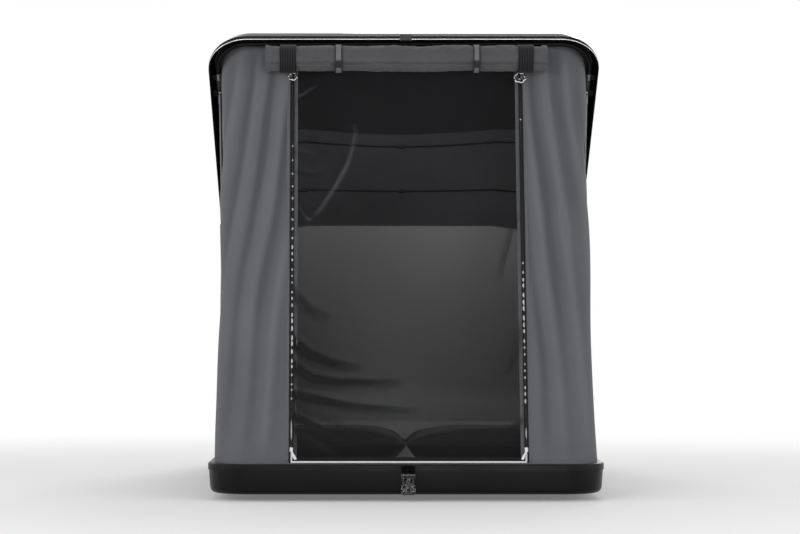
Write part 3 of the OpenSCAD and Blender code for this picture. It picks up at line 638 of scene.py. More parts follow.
# ---- Mounting rails, hinges and pins ----
# Two mill-finish aluminium channels are bolted under the tub. Three steel hinges join base and lid
# at the rear, with zinc-plated pins.
rail_metal = metal("rail_aluminium", rgb(170, 173, 176), rgb(190, 192, 195), 0.36,
                   (900.0, 3.0, 900.0))
dress(rail_metal, "mount_rails")
hinge_metal = metal("hinge_steel", rgb(58, 60, 63), rgb(72, 74, 77), 0.40, (8.0, 700.0, 700.0),
                    metallic=0.8)
dress(hinge_metal, "hinge_base", "hinge_lid")
pin_metal = metal("pin_steel", rgb(186, 188, 190), rgb(204, 206, 208), 0.26, (500.0, 4.0, 4.0))
dress(pin_metal, "hinge_pins")


def geometry_tree(name, source, values, outcome):
    """An empty tree of geometry nodes with its source, named values and outcome."""
    tree = bpy.data.node_groups.new(name, "GeometryNodeTree")
    for title, kind in ((source, "Geometry"), *values):
        tree.interface.new_socket(title, in_out="INPUT", socket_type="NodeSocket" + kind)
    tree.interface.new_socket(outcome, in_out="OUTPUT", socket_type="NodeSocketGeometry")
    return tree, tree.nodes.new("NodeGroupInput"), tree.nodes.new("NodeGroupOutput")


def painted_copies(tree, points, shape, turn, finish):
    """Copies of a shape on points, each turned its own way, as one mesh in one finish."""
    placed = add(tree, "GeometryNodeInstanceOnPoints",
                 {"Points": points, "Instance": shape, "Rotation": turn})
    real = add(tree, "GeometryNodeRealizeInstances", {"Geometry": placed.outputs[0]})
    return add(tree, "GeometryNodeSetMaterial",
               {"Geometry": real.outputs[0], "Material": finish}).outputs[0]


def head_tree():
    """Domed screw heads on the points of a mesh, all turned the same way."""
    values = (("Head Radius", "Float"), ("Head Height", "Float"), ("Facing", "Vector"),
              ("Finish", "Material"))
    tree, given, result = geometry_tree("screw_heads_on_points", "Points", values, "Heads")
    dome = add(tree, "GeometryNodeMeshUVSphere",
               {"Segments": 20, "Rings": 10, "Radius": given.outputs["Head Radius"]})
    flat = math_node(tree, "DIVIDE", given.outputs["Head Height"], given.outputs["Head Radius"])
    scale = add(tree, "ShaderNodeCombineXYZ", {0: 1.0, 1: 1.0, 2: flat})
    head = add(tree, "GeometryNodeTransform",
               {"Geometry": dome.outputs[0], "Scale": scale.outputs[0]})
    turn = add(tree, "FunctionNodeAlignRotationToVector", {"Vector": given.outputs["Facing"]},
               axis="Z")
    heads = painted_copies(tree, given.outputs["Points"], head.outputs[0], turn.outputs[0],
                           given.outputs["Finish"])
    tree.links.new(heads, result.inputs["Heads"])
    return tree


def run_tree(name, tree, mesh, values):
    """Runs a tree of geometry nodes on a mesh, with its named inputs, and keeps the result."""
    made = linked(name, mesh)
    nodes_on = made.modifiers.new("nodes", "NODES")
    nodes_on.node_group = tree
    sockets = {item.name: item.identifier for item in tree.interface.items_tree
               if item.in_out == "INPUT"}
    for title, value in values.items():
        nodes_on[sockets[title]] = value
    bake(made)
    made.data.shade_smooth()
    return made


screw_heads = head_tree()
SCREW_RADIUS, SCREW_HEIGHT = 0.0045, 0.0024


def screws(name, places, facing, finish, body):
    dots = bpy.data.meshes.new(name)
    dots.from_pydata([tuple(p) for p in places], [], [])
    values = {"Head Radius": SCREW_RADIUS, "Head Height": SCREW_HEIGHT, "Facing": facing,
              "Finish": finish}
    made = run_tree(name, screw_heads, dots, values)
    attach(made, body)
    return made


# Each hinge leaf has two screws; they stand on the leaves' rear faces.
LEAF_BACK = 1.0533
hinge_x = [middle + side * 0.02688 for middle in (-0.468, 0.0, 0.468) for side in (-1, 1)]
screws("hinge_screws_base", [(x, LEAF_BACK, 0.1090) for x in hinge_x], (0, 1, 0), pin_metal,
       "base")

# ---- Gas struts ----
# Black-painted cylinders with chromed rods, between studs on the rim band and studs on the lid's
# side walls. The brackets are pressed from grey zinc-plated steel.
strut_paint = moulding("strut_black", rgb(22, 22, 23), rgb(30, 30, 31), 0.30, 1500.0, 0.06, 0.4)
dress(strut_paint, "strut_left", "strut_right")
rod_metal = metal("rod_chrome", rgb(112, 114, 118), rgb(128, 130, 134), 0.24, (60.0, 60.0, 60.0),
                  relief=0.02)
dress(rod_metal, "rod_left", "rod_right")
bracket_metal = metal("bracket_steel", rgb(118, 121, 125), rgb(142, 145, 149), 0.34,
                      (60.0, 60.0, 60.0), relief=0.05)
dress(bracket_metal, "strut_brackets")

# ---- Latch ----
# A die-cast over-centre latch, black powder-coated: a backing plate screwed to the tub, a claw
# plate with two worn bars that hooks the catch on the lid, and a paddle with a lock barrel.
LATCH_X = 0.005
LATCH_PIVOT = Vector((LATCH_X, -1.058, 0.072))
ACROSS, BACK, UP = Vector((1, 0, 0)), Vector((0, 1, 0)), Vector((0, 0, 1))
latch_plate = moulding("latch_metal", rgb(14, 14, 15), rgb(22, 22, 24), 0.34, 1800.0, 0.10, 0.3)
dress(latch_plate, "latch_base", "lid_catch")
latch_black = moulding("latch_black", rgb(5, 5, 6), rgb(9, 9, 10), 0.60, 1800.0, 0.10, 0.03)


def worn_metal(name, dark, light, scale, low, high):
    """Powder coat rubbed through in flecks: dark paint, and bare metal where the noise is high."""
    made, tree, shader = material(name, Specular_IOR_Level=0.08, Roughness=0.55)
    flecks = mottle(tree, own_place(tree), scale, 2.0)
    bare = spread(tree, flecks, low, high, 0.0, 1.0)
    tree.links.new(mix_colour(tree, bare, dark, light), shader.inputs["Base Color"])
    bump(tree, shader, flecks, 0.5, 0.0004)
    return made


latch_worn = worn_metal("latch_worn", rgb(24, 24, 26), rgb(112, 111, 112), 260.0, 0.40, 0.60)
latch_cast = worn_metal("latch_cast", rgb(4, 4, 5), rgb(132, 130, 131), 270.0, 0.50, 0.58)


def box_rings(centre, along, across, up, length, width, height, bevel):
    """Rings of a small block with bevelled edges, along its first direction."""
    rings = []
    for s, inset in ((-0.5, bevel), (-0.5 + bevel / length, 0), (0.5 - bevel / length, 0),
                     (0.5, bevel)):
        w, h = width / 2 - inset, height / 2 - inset
        corners = [(-w, -h + bevel), (-w + bevel, -h), (w - bevel, -h), (w, -h + bevel),
                   (w, h - bevel), (w - bevel, h), (-w + bevel, h), (-w, h - bevel)]
        rings.append([centre + along * (s * length) + across * a + up * b for a, b in corners])
    return rings


def block(x0, x1, y0, y1, z0, z1, bevel=0.0005):
    """Rings of a bevelled block between two corners, given from the latch's middle line."""
    middle = Vector((LATCH_X + (x0 + x1) / 2, (y0 + y1) / 2, (z0 + z1) / 2))
    return box_rings(middle, ACROSS, BACK, UP, x1 - x0, y1 - y0, z1 - z0, bevel)


def turned(centre, axis, side, profile, sides=28):
    """Rings of a turned solid: each step of its profile is a place along the axis and a radius."""
    up = axis.cross(side)
    turns = [2 * math.pi * k / sides for k in range(sides)]
    return [[centre + axis * s + (side * math.cos(a) + up * math.sin(a)) * r for a in turns]
            for s, r in profile]


def assembled(name, solids, finish, sharp=40):
    """One piece of several closed solids, each given as rings of points."""
    points, faces = [], []
    for rings in solids:
        m, n, first = len(rings), len(rings[0]), len(points)
        points += [Vector(p) for ring in rings for p in ring]
        own = []
        for i in range(m - 1):
            for j in range(n):
                low, high, k = first + i * n, first + (i + 1) * n, (j + 1) % n
                own.append((low + j, low + k, high + k, high + j))
        own += [tuple(first + j for j in range(n - 1, -1, -1)),
                tuple(first + (m - 1) * n + j for j in range(n))]
        core = sum((points[first + k] for k in range(m * n)), Vector()) / (m * n)
        volume = 0
        for f in own:
            corners = [points[k] - core for k in f]
            volume += sum(corners[0].dot(corners[k].cross(corners[k + 1]))
                          for k in range(1, len(f) - 1))
        faces += own if volume > 0 else [f[::-1] for f in own]
    made = piece(name, points, faces, sharp)
    made.data.materials.append(finish)
    return made


claw_plate = assembled("latch_claw_plate",
                       [block(-0.021, 0.021, -1.0665, -1.0640, 0.0770, 0.1160),
                        block(-0.014, 0.014, -1.0665, -1.0605, 0.1135, 0.1160),
                        block(-0.0118, -0.0083, -1.0650, -1.0635, 0.0640, 0.0785),
                        block(0.0083, 0.0118, -1.0650, -1.0635, 0.0640, 0.0785),
                        block(-0.0118, -0.0083, -1.0650, -1.0550, 0.0630, 0.0690),
                        block(0.0083, 0.0118, -1.0650, -1.0550, 0.0630, 0.0690)], latch_black)
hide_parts("latch_claw")
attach(claw_plate, "latch_claw")
upper_bar = block(-0.0235, 0.0235, -1.0692, -1.0642, 0.0832, 0.0908, 0.0014)
lower_bar = block(-0.0232, 0.0232, -1.0672, -1.0642, 0.0765, 0.0800, 0.0010)
claw_bars = assembled("latch_claw_bars", [upper_bar, lower_bar], latch_worn)
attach(claw_bars, "latch_claw")

paddle_rings = []
for depth, inset in ((-1.0565, 0.0012), (-1.0577, 0.0), (-1.0652, 0.0), (-1.0665, 0.0012)):
    edge = outline(0.0238 - inset, 0.0250 + inset, 0.0570 - inset, 0.0085 - inset, 6)
    paddle_rings.append([(LATCH_X + x, depth, z) for x, z in edge])
tongue = block(-0.0075, 0.0075, -1.0625, -1.0555, 0.0560, 0.0720)
knuckle = turned(LATCH_PIVOT - Vector((0.0075, 0, 0)), ACROSS, BACK,
                 [(0, 0.0040), (0.0005, 0.0045), (0.0145, 0.0045), (0.0150, 0.0040)])
claw_pin = turned(LATCH_PIVOT - Vector((0.0118, 0, 0.006)), ACROSS, BACK,
                  [(0, 0.0015), (0.0236, 0.0015)], 12)
paddle_solids = [paddle_rings, tongue, knuckle, claw_pin]
pad = outline(0.0052, -0.0120, 0.0100, 0.0048, 5)
for dx in (-0.0155, 0.0155):
    paddle_solids.append(
        [[(LATCH_X + dx + x * k, depth, 0.0445 + z * k) for x, z in pad]
         for depth, k in ((-1.0660, 1.0), (-1.0676, 1.0), (-1.0684, 0.82), (-1.0687, 0.55))])
for level in (0.0300, 0.0338):
    paddle_solids.append(block(-0.0185, 0.0185, -1.0676, -1.0660, level, level + 0.0018, 0.0005))
lock_barrel = turned(Vector((LATCH_X, -1.0655, 0.0425)), Vector((0, -1, 0)), ACROSS, [
    (0, 0.0068), (0.0032, 0.0068), (0.0038, 0.0062), (0.0038, 0.0050), (0.0030, 0.0044)])
paddle_solids.append(lock_barrel)
loop_line = []
for a in range(0, 360, 15):
    x, z = 0.0038 * math.sin(math.radians(a)), 0.0050 * math.cos(math.radians(a))
    loop_line.append((LATCH_X + x, -1.0662, 0.0490 + z))
paddle = assembled("latch_paddle", paddle_solids, latch_cast)
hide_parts("latch_lever")
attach(paddle, "latch_lever")
key_cover = tube("latch_key_cover", loop_line, 0.0009, 8, closed=True)
key_cover.data.materials.append(latch_worn)
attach(key_cover, "latch_lever")
slot_rings = block(-0.0006, 0.0006, -1.0689, -1.0680, 0.0395, 0.0455, 0.0002)
key_slot = assembled("latch_key_slot", [slot_rings], latch_black)
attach(key_slot, "latch_lever")

# ---- Lid shell ----
# The same ABS sheet with a glossy acrylic cap, formed into a shallow lid: an upright band round
# the edge, a sloping shoulder and a crown stiffened by four long ribs.
OPEN = math.radians(42)
HINGE_Y, HINGE_Z = 1.064, 0.1225
LID_HALF, LID_FRONT, LID_REAR, LID_CORNER = 0.683, -1.075, 1.05, 0.14


def tilt(x, y, z):
    """Takes a point of the shut lid to where it is with the lid open."""
    dy, dz = y - HINGE_Y, z - HINGE_Z
    return (x, HINGE_Y + dy * math.cos(OPEN) + dz * math.sin(OPEN),
            HINGE_Z - dy * math.sin(OPEN) + dz * math.cos(OPEN))


def lid_ring(side, front, rear, z, steps=20):
    """The lid's outline with its insets at the sides, front and rear, at a height above its rim.

    The lid is 21 mm narrower on each side at the hinges than at its front."""
    ring = []
    radius = max(LID_CORNER - min(side, front, rear), 0.024)
    for x, y in outline(LID_HALF - side, LID_FRONT + front, LID_REAR - rear, radius, steps):
        narrow = 1 - 0.021 / LID_HALF * (y - LID_FRONT) / (HINGE_Y - LID_FRONT)
        ring.append(tilt(x * narrow, y, 0.125 + z))
    return ring


# The lid's profile: the insets at its sides, front and rear, and the height of each step.
lid_steps = [(0, 0, 0, 0.002), (0, 0, 0, 0.018), (0.001, 0.001, 0.001, 0.022),
             (0.004, 0.004, 0.003, 0.026), (0.009, 0.010, 0.007, 0.031),
             (0.032, 0.0305, 0.022, 0.0713), (0.065, 0.074, 0.042, 0.1102),
             (0.096, 0.122, 0.062, 0.1345), (0.132, 0.168, 0.092, 0.1499),
             (0.180, 0.230, 0.140, 0.1580), (0.250, 0.310, 0.210, 0.162)]


def smooth_steps(steps, first, parts=4):
    """Rounds the lid's profile between its steps, from the step numbered first."""
    line = list(steps[:first])
    for i in range(first, len(steps) - 1):
        before, after = max(i - 1, first), min(i + 2, len(steps) - 1)
        four = list(zip(steps[before], steps[i], steps[i + 1], steps[after]))
        for k in range(parts):
            t = k / parts
            line.append(tuple(0.5 * (2 * q + (r - p) * t + (2 * p - 5 * q + 4 * r - s) * t * t
                                     + (3 * q - p - 3 * r + s) * t ** 3) for p, q, r, s in four))
    return line + [steps[-1]]


skin = smooth_steps(lid_steps, 4)
inside = [(a + 0.004, b + 0.004, c + 0.004, z if k < 3 else z - 0.0032)
          for k, (a, b, c, z) in enumerate(skin)]
shell = loft("lid_skin", [lid_ring(*s) for s in skin[::-1]] + [lid_ring(*s) for s in inside],
             sharp=40)
lid_gloss = moulding("lid_moulding", rgb(7, 7, 8), rgb(11, 11, 12), 0.24, 260.0, 0.05, 0.0)
gloss, gloss_shader = lid_gloss.node_tree, lid_gloss.node_tree.nodes["Principled BSDF"]
# The acrylic cap is on the outer face only: the skin's "bare" attribute marks its inner face.
bare_part = shell.data.attributes.new("bare", "FLOAT", "POINT")
on_skin = len(shell.data.vertices) // 2
bare_part.data.foreach_set("value", [float(k >= on_skin) for k in range(len(shell.data.vertices))])
bare = add(gloss, "ShaderNodeAttribute", attribute_name="bare").outputs["Fac"]
grazing = add(gloss, "ShaderNodeLayerWeight", {"Blend": 0.5}).outputs["Facing"]
capped = spread(gloss, bare, 0.0, 1.0, 1.0, 0.0)
seen_flat = spread(gloss, grazing, 0.64, 0.78, 0.06, 1.0)
gloss.links.new(math_node(gloss, "MULTIPLY", capped, seen_flat), gloss_shader.inputs["Coat Weight"])
gloss_shader.inputs["Coat IOR"].default_value = 1.6
gloss_shader.inputs["Coat Roughness"].default_value = 0.07
shell.data.materials.append(lid_gloss)
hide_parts("lid_shell")
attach(shell, "lid")
# The ribs' section, as the half width and height of each step.
RIB_STEPS = [(0.022, -0.001), (0.0205, 0.0008), (0.018, 0.003), (0.015, 0.0048), (0.012, 0.0058),
             (0.008, 0.006)]
for number, cx in enumerate((-0.3, -0.1, 0.1, 0.3)):
    rings = []
    for half, z in RIB_STEPS:
        plan = outline(half, -0.67 - half, 0.67 + half, half - 0.0005, 8)
        rings.append([tilt(cx + x, 0.04 + y, 0.287 + z) for x, y in plan])
    rib = loft("lid_rib_%d" % (number + 1), rings, sharp=50)
    rib.data.materials.append(lid_gloss)
    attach(rib, "lid")

lid_leaf_facing = (0, math.cos(OPEN), -math.sin(OPEN))
screws("hinge_screws_lid", [tilt(x, LEAF_BACK, 0.1370) for x in hinge_x], lid_leaf_facing,
       pin_metal, "lid")

# ---- Lid edge trim ----
# A black PVC trim of U section pushed over the lid's lower edge, cut away at the three hinges. A
# bright bead in its outer lip along the front and round the two front corners is a painted
# highlight: it stands in for the light that the trim's rounded lip catches there.
trim_section = [(-0.0022, 0.0025), (-0.0022, 0.009), (-0.0019, 0.0103), (-0.0012, 0.011),
                (-0.0003, 0.011), (-0.0003, 0.0017), (0.0043, 0.0017), (0.0043, 0.011),
                (0.0054, 0.011), (0.0062, 0.009), (0.0062, 0.0025), (0.0052, 0.0006), (0.002, 0.0),
                (-0.0012, 0.0006), (-0.0019, 0.0014)]
trim_rings = [lid_ring(p, p, p, z) for p, z in trim_section]
trim_lines = list(zip(*trim_rings))
count = len(trim_lines)


def trim_run(name, lines):
    run = loft(name, [list(s) for s in lines], sharp=40)
    run.data.materials.append(trim_pvc)
    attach(run, "lid")
    return run


trim_pvc = moulding("edge_trim", rgb(6, 6, 7), rgb(11, 11, 12), 0.36, 500.0, 0.08, 0.03)
# The lines of the trim in order from the left end of the lid's straight rear edge to its right end.
right_end = next(i for i in range(count) if trim_lines[i][0][1] > 0.9
                 and trim_lines[i][0][0] > 0.3 and trim_lines[(i + 1) % count][0][0] < -0.3)
around = [trim_lines[(right_end + 1 + k) % count] for k in range(count)]


def rear_cut(x):
    """The trim's section at a place along the lid's straight rear edge."""
    a, b = around[0], around[-1]
    t = (x - a[0][0]) / (b[0][0] - a[0][0])
    return [Vector(p).lerp(Vector(q), t) for p, q in zip(a, b)]


main_trim = trim_run("edge_trim_main", [rear_cut(-0.5115)] + around + [rear_cut(0.5115)])
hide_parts("lid_edge")
for number, (x0, x1) in enumerate(((-0.4245, -0.0435), (0.0435, 0.4245))):
    trim_run("edge_trim_rear_%d" % (number + 1),
             [rear_cut(x0 + (x1 - x0) * k / 6) for k in range(7)])

# The bright bead is a painted highlight along the trim's lower lip.
bead_ring = lid_ring(-0.0014, -0.0014, -0.0014, 0.0012)[:42]
left_corner, right_corner = bead_ring[:21], bead_ring[21:]
front_run = [Vector(left_corner[-1]).lerp(Vector(right_corner[0]), k / 24) for k in range(1, 24)]
bead_line = left_corner + front_run + right_corner
last = len(bead_line) - 1
highlight_bead = tube("edge_highlight_bead", bead_line, lambda i: 0.0015 * min(1.0, 0.25 + min(i, last - i) / 8), 10)
highlight_bead_metal = metal("edge_highlight_bead", rgb(214, 215, 217), rgb(236, 237, 238), 0.20, (20.0, 20.0, 20.0),
                   relief=0.02)
highlight_bead.data.materials.append(highlight_bead_metal)
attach(highlight_bead, "lid")

# ---- Lid lining ----
# Pale grey brushed polyester lining over thin foam, bonded to the inside of the lid from its
# shoulder to its crown.
lining_steps = skin[5:]
t = 0.005
lining_out = [(a + t + 0.002, b + t + 0.002, c + t + 0.002, z - 0.0035)
              for a, b, c, z in lining_steps]
lining_in = [(a + t + 0.010, b + t + 0.010, c + t + 0.010, z - t - 0.008)
             for a, b, c, z in lining_steps]
lining_edge = loft("lining_sides", [lid_ring(*s) for s in lining_out[::-1]]
                   + [lid_ring(*s) for s in lining_in], sharp=50)
lining_felt = cloth("lining", rgb(214, 215, 213), rgb(236, 236, 233), 0.95, 700.0, 0.35, 0.35,
                    on_map=False)
felt, felt_shader = lining_felt.node_tree, lining_felt.node_tree.nodes["Principled BSDF"]
felt_place = add(felt, "ShaderNodeSeparateXYZ", {0: own_place(felt)})
felt_height = felt_place.outputs[2]
from_middle = math_node(felt, "ABSOLUTE", math_node(felt, "ADD", felt_place.outputs[0], -0.10))
# Painted shade: the lining is darker low down, but not on the strip behind the mattress, and
# towards its sides, where the light falls off.
shade_low_down = spread(felt, felt_height, 0.30, 0.95, 0.42, 0.0)
above_strip = spread(felt, felt_height, 0.165, 0.180, 0.0, 1.0)
painted_shade = math_node(felt, "MULTIPLY", shade_low_down, above_strip)
painted_shade = math_node(felt, "ADD", painted_shade, spread(felt, from_middle, 0.12, 0.62, 0.0, 0.45))
plain_felt = felt_shader.inputs["Base Color"].links[0].from_socket
shaded_felt = mix_colour(felt, painted_shade, plain_felt, rgb(150, 151, 150))
# A black hem runs round the lining's front and sides below the walls' head; its "hem" attribute
# tells where.
around_lining = [z for _, _, _, z in lining_out[::-1] + lining_in]
per_ring = len(lining_edge.data.vertices) // len(around_lining)
hem = lining_edge.data.attributes.new("hem", "FLOAT", "POINT")
low_part = [clamp((0.062 - z) / 0.008) for z in around_lining for _ in range(per_ring)]
before_rear = [clamp((0.90 - v.co.y) / 0.10) for v in lining_edge.data.vertices]
hem.data.foreach_set("value", [low * before for low, before in zip(low_part, before_rear)])
hemmed = add(felt, "ShaderNodeAttribute", attribute_name="hem").outputs["Fac"]
felt.links.new(mix_colour(felt, hemmed, shaded_felt, rgb(13, 13, 14)),
               felt_shader.inputs["Base Color"])
lining_edge.data.materials.append(lining_felt)
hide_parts("lid_liner")
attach(lining_edge, "lid")

# ---- Ceiling net pocket and its cords ----
# A black knitted net is stretched under the door end of the lining to hold loose things. Two
# elastic cords run across it, each with black clips that take it up.
NET_FRONT, NET_REAR, NET_HALF = -0.836, -0.0065, 0.560


def hem_height(x, y):
    """Height of the net's held edge, in the shut lid, just below the lining."""
    return 0.2740 - 0.0003 - max(0, (abs(x) - 0.35) * 0.18) - max(0, (-0.775 - y) * 0.12)


def net_drop(u, v):
    """How far the net sags below its held edges."""
    return 0.018 * max(0.004, 4 * u * (1 - u)) ** 0.8 * max(0, 4 * v * (1 - v)) ** 0.8


def mapped_sheet(name, points, faces, map_place):
    """A smooth sheet with a UV map in metres, on which map_place gives each point's place."""
    mesh = bpy.data.meshes.new(name)
    mesh.from_pydata([tuple(p) for p in points], [], faces)
    layer = mesh.uv_layers.new(name="UVMap")
    for loop in mesh.loops:
        layer.data[loop.index].uv = map_place(loop.vertex_index)
    mesh.shade_smooth()
    return linked(name, mesh)


def thicken(made, thickness):
    """Gives a sheet its thickness, towards its back."""
    wall = made.modifiers.new("thickness", "SOLIDIFY")
    wall.thickness = thickness
    wall.offset = -1
    return bake(made)


def running(points):
    """How far along a line of points each of them is."""
    far = [0.0]
    for a, b in zip(points, points[1:]):
        far.append(far[-1] + (Vector(b) - Vector(a)).length)
    return far


def grid_sheet(name, cols, rows, place, thickness=0.0):
    """A sheet over a grid, place(u, v) giving each point, with a UV map in metres."""
    n = cols + 1
    points = [place(i / cols, j / rows) for j in range(rows + 1) for i in range(n)]
    faces = [(j * n + i, j * n + i + 1, (j + 1) * n + i + 1, (j + 1) * n + i) for j in range(rows)
             for i in range(cols)]
    middle = rows // 2 * n
    across, along = running(points[middle:middle + n]), running(points[cols // 2::n])
    made = mapped_sheet(name, points, faces, lambda k: (across[k % n], along[k // n]))
    return thicken(made, thickness) if thickness else made


def net_place(u, v):
    """A point of the net, u from its left side and v from its front."""
    x, y = -NET_HALF + 2 * NET_HALF * u, NET_FRONT + (NET_REAR - NET_FRONT) * v
    slack = 0.003 * noise.noise(Vector((u * 9, v * 5, 2.0)))
    for share in (u, v):
        slack *= min(1, 8 * share * (1 - share))
    return tilt(x, y, hem_height(x, y) - net_drop(u, v) - slack - 0.0006)


ceiling_net = grid_sheet("ceiling_net_sheet", 80, 50, net_place, 0.0007)


def netting(name, colour_a, colour_b, pitch, open_share, rough=0.7, sheen=0.3, specular=0.3,
            folded=False):
    """Knitted net: alpha holes in a staggered pattern on the piece's UV map in metres.

    A folded net closes up on the flanks of its folds, where its "fold" attribute tells them, and
    carries a painted highlight on their upper flanks and painted shade on their lower ones."""
    made, tree, shader = material(name, Specular_IOR_Level=specular, Sheen_Weight=sheen,
                                  Roughness=rough)
    where = add(tree, "ShaderNodeTexCoord")
    stretched = add(tree, "ShaderNodeVectorMath", {0: where.outputs["UV"], 3: math.pi / pitch},
                    operation="SCALE")
    axes = add(tree, "ShaderNodeSeparateXYZ", {0: stretched.outputs[0]})
    rows = []
    for slant in ("ADD", "SUBTRACT"):
        crossing = math_node(tree, slant, axes.outputs[0], axes.outputs[1])
        rows.append(math_node(tree, "ABSOLUTE", math_node(tree, "SINE", crossing)))
    hole = math_node(tree, "MULTIPLY", *rows)
    colour = mix_colour(tree, mottle(tree, where.outputs["Object"], 6.0, 3), colour_a, colour_b)
    if folded:
        flank = add(tree, "ShaderNodeAttribute", attribute_name="fold").outputs["Fac"]
        # The lit flanks get a painted highlight colour and the shaded flanks a painted shade
        # colour.
        for sign, flank_paint, closing in ((1.0, rgb(116, 117, 119), 0.34), (-1.0, rgb(16, 16, 17), 0.85)):
            side = add(tree, "ShaderNodeMath", {0: flank, 1: sign}, operation="MULTIPLY",
                       use_clamp=True).outputs[0]
            colour = mix_colour(tree, side, colour, flank_paint)
            hole = math_node(tree, "SUBTRACT", hole, math_node(tree, "MULTIPLY", side, closing))
    thread = spread(tree, hole, open_share - 0.08, open_share + 0.08, 1.0, 0.0)
    tree.links.new(thread, shader.inputs["Alpha"])
    tree.links.new(colour, shader.inputs["Base Color"])
    bump(tree, shader, hole, 0.3, 0.0003)
    return made


pocket_net = netting("net", rgb(84, 84, 87), rgb(104, 104, 108), 0.0026, 0.80)
ceiling_net.data.materials.append(pocket_net)
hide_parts("ceiling_net")
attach(ceiling_net, "lid")


def flap_place(u, v):
    """The doubled front of the pocket, from its front edge back to its sagging hem."""
    reach = 0.350 + 0.056 * (1 - abs(2 * u - 1) ** 1.6)
    below = Vector((0, -0.0014 * math.sin(OPEN), -0.0014 * math.cos(OPEN)))
    return Vector(net_place(u, v * reach)) + below


net_flap = grid_sheet("ceiling_net_flap", 80, 24, flap_place, 0.0006)
flap_net = netting("net_flap", rgb(42, 42, 45), rgb(54, 54, 58), 0.0021, 0.62)
net_flap.data.materials.append(flap_net)
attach(net_flap, "lid")

cord_rubber = cloth("cord", rgb(9, 9, 10), rgb(16, 16, 17), 0.7, 3000.0, 0.3, 0.05, on_map=False)
for title, place, sag in (("upper", 0.42, 0.05), ("lower", 0.742, 0.01)):
    path = []
    for i in range(61):
        # Each cord takes up 26 of 32 parts of the net's width, in the middle.
        u = (3 + 26 * i / 60) / 32
        v = place + sag * (1 - abs(2 * u - 1) ** 1.6)
        x, y = -NET_HALF + 2 * NET_HALF * u, NET_FRONT + (NET_REAR - NET_FRONT) * v
        path.append(tilt(x, y, hem_height(x, y) - net_drop(u, v) - 0.0059))
    line = tube("net_cord_" + title, path, 0.003, 8)
    line.data.materials.append(cord_rubber)
    if title == "upper":
        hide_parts("ceiling_cords")
    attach(line, "lid")
    for number, at in enumerate((30,) if title == "upper" else (30, 6)):
        here, ahead = Vector(path[at]), (Vector(path[at + 1]) - Vector(path[at - 1])).normalized()
        across = ahead.cross(Vector((0, math.sin(OPEN), math.cos(OPEN)))).normalized()
        buckle = box_rings(here, ahead, across, ahead.cross(across), 0.026, 0.013, 0.0095, 0.0018)
        clip = assembled("net_clip_%s_%d" % (title, number + 1), [buckle], latch_plate)
        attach(clip, "lid")

# ---- Bow tube ----
# Black-coated steel tube bent round the inside of the lid's front, with its ends pushed into the
# zinc-plated sockets on the lid's side walls.
BOW_HALF, BOW_Z, BOW_BEND = 0.65, 0.141, 0.107
SOCKET_Y, STUD_Y = -0.882, -0.816
half_bow = [(BOW_HALF, SOCKET_Y), (BOW_HALF, -0.9085)]
for i in range(19):
    a = math.radians(5 * i)
    half_bow.append((BOW_HALF - BOW_BEND * (1 - math.cos(a)), -0.935 - BOW_BEND * math.sin(a)))
bow_line = [(-x, y) for x, y in half_bow] + half_bow[::-1]
bow = tube("bow_tube_bent", [tilt(x, y, BOW_Z) for x, y in bow_line], 0.0085, 20)
bow_paint = moulding("tube_black", rgb(9, 9, 10), rgb(14, 14, 15), 0.42, 900.0, 0.08, 0.12)
bow.data.materials.append(bow_paint)
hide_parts("bow_tube")
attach(bow, "lid")

# Each end of the tube sits in a zinc-plated sleeve; its arm and the strut's stud are black.
SLEEVE = [(-0.0250, 0.0092), (-0.0243, 0.0102), (-0.0205, 0.0104), (-0.0185, 0.0099),
          (0.0010, 0.0099), (0.0035, 0.0092), (0.0040, 0.0080)]
STUD = [(0, 0.0026), (0.0005, 0.0030), (0.0130, 0.0030), (0.0135, 0.0055), (0.0165, 0.0055)]
for side, title in SIDE_NAMES.items():
    sleeve = turned(Vector((side * BOW_HALF, SOCKET_Y, BOW_Z)), BACK, ACROSS, SLEEVE)
    socket = assembled("bow_socket_" + title, [[[tilt(*p) for p in ring] for ring in sleeve]],
                       bracket_metal)
    if side < 0:
        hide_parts("lid_brackets")
    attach(socket, "lid")
    socket_foot = Vector((side * 0.6671, -0.889, 0.140))
    stud_foot = Vector((side * 0.6670, STUD_Y, 0.1397))
    parts = [box_rings(socket_foot, BACK, ACROSS, UP, 0.022, 0.0190, 0.006, 0.0008),
             box_rings(stud_foot, BACK, ACROSS, UP, 0.028, 0.0178, 0.0064, 0.0008),
             turned(Vector((side * 0.6455, STUD_Y, BOW_Z)), Vector((side, 0, 0)), BACK, STUD, 20)]
    arm = assembled("lid_studs_" + title,
                    [[[tilt(*p) for p in ring] for ring in solid] for solid in parts], bow_paint)
    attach(arm, "lid")

# ---- Fabric walls ----
# One canopy of grey poly-cotton canvas from the left hinge round the door to the right hinge. Its
# foot is held by the rim band and its head by a rail in the lid; the stretched cloth waists a
# little and carries soft folds that fan out from the lid's corners.

# REST is the height at which the walls stand on the band, and the doorway's middle is at DOOR_X.
REST, WALL_HEAD, DOOR_X = 0.1203, 0.1825, 0.008


def wall_line(half_width, front, rear, radius, door, side, corner, flank, middle):
    """Plan outline of the walls from the left rear round the front to the right rear."""
    half = [(half_width, rear - 0.117 + (front + radius - rear + 0.117) * i / side)
            for i in range(side + 1)]
    for i in range(1, corner + 1):
        a = math.radians(90 * i / corner)
        half.append((half_width - radius * (1 - math.cos(a)), front + radius * (1 - math.sin(a))))
    half += [(half_width - radius + (door - half_width + radius) * i / flank, front)
             for i in range(1, flank + 1)]
    shift = [DOOR_X * max(0, i - (len(half) - 1 - flank)) / flank for i in range(len(half))]
    left = [(-x + s, y) for (x, y), s in zip(half, shift)]
    right = [(x + s, y) for (x, y), s in zip(half, shift)][::-1]
    doorway = [(-door + 2 * door * i / middle + DOOR_X, front) for i in range(1, middle)]
    return left + doorway + right


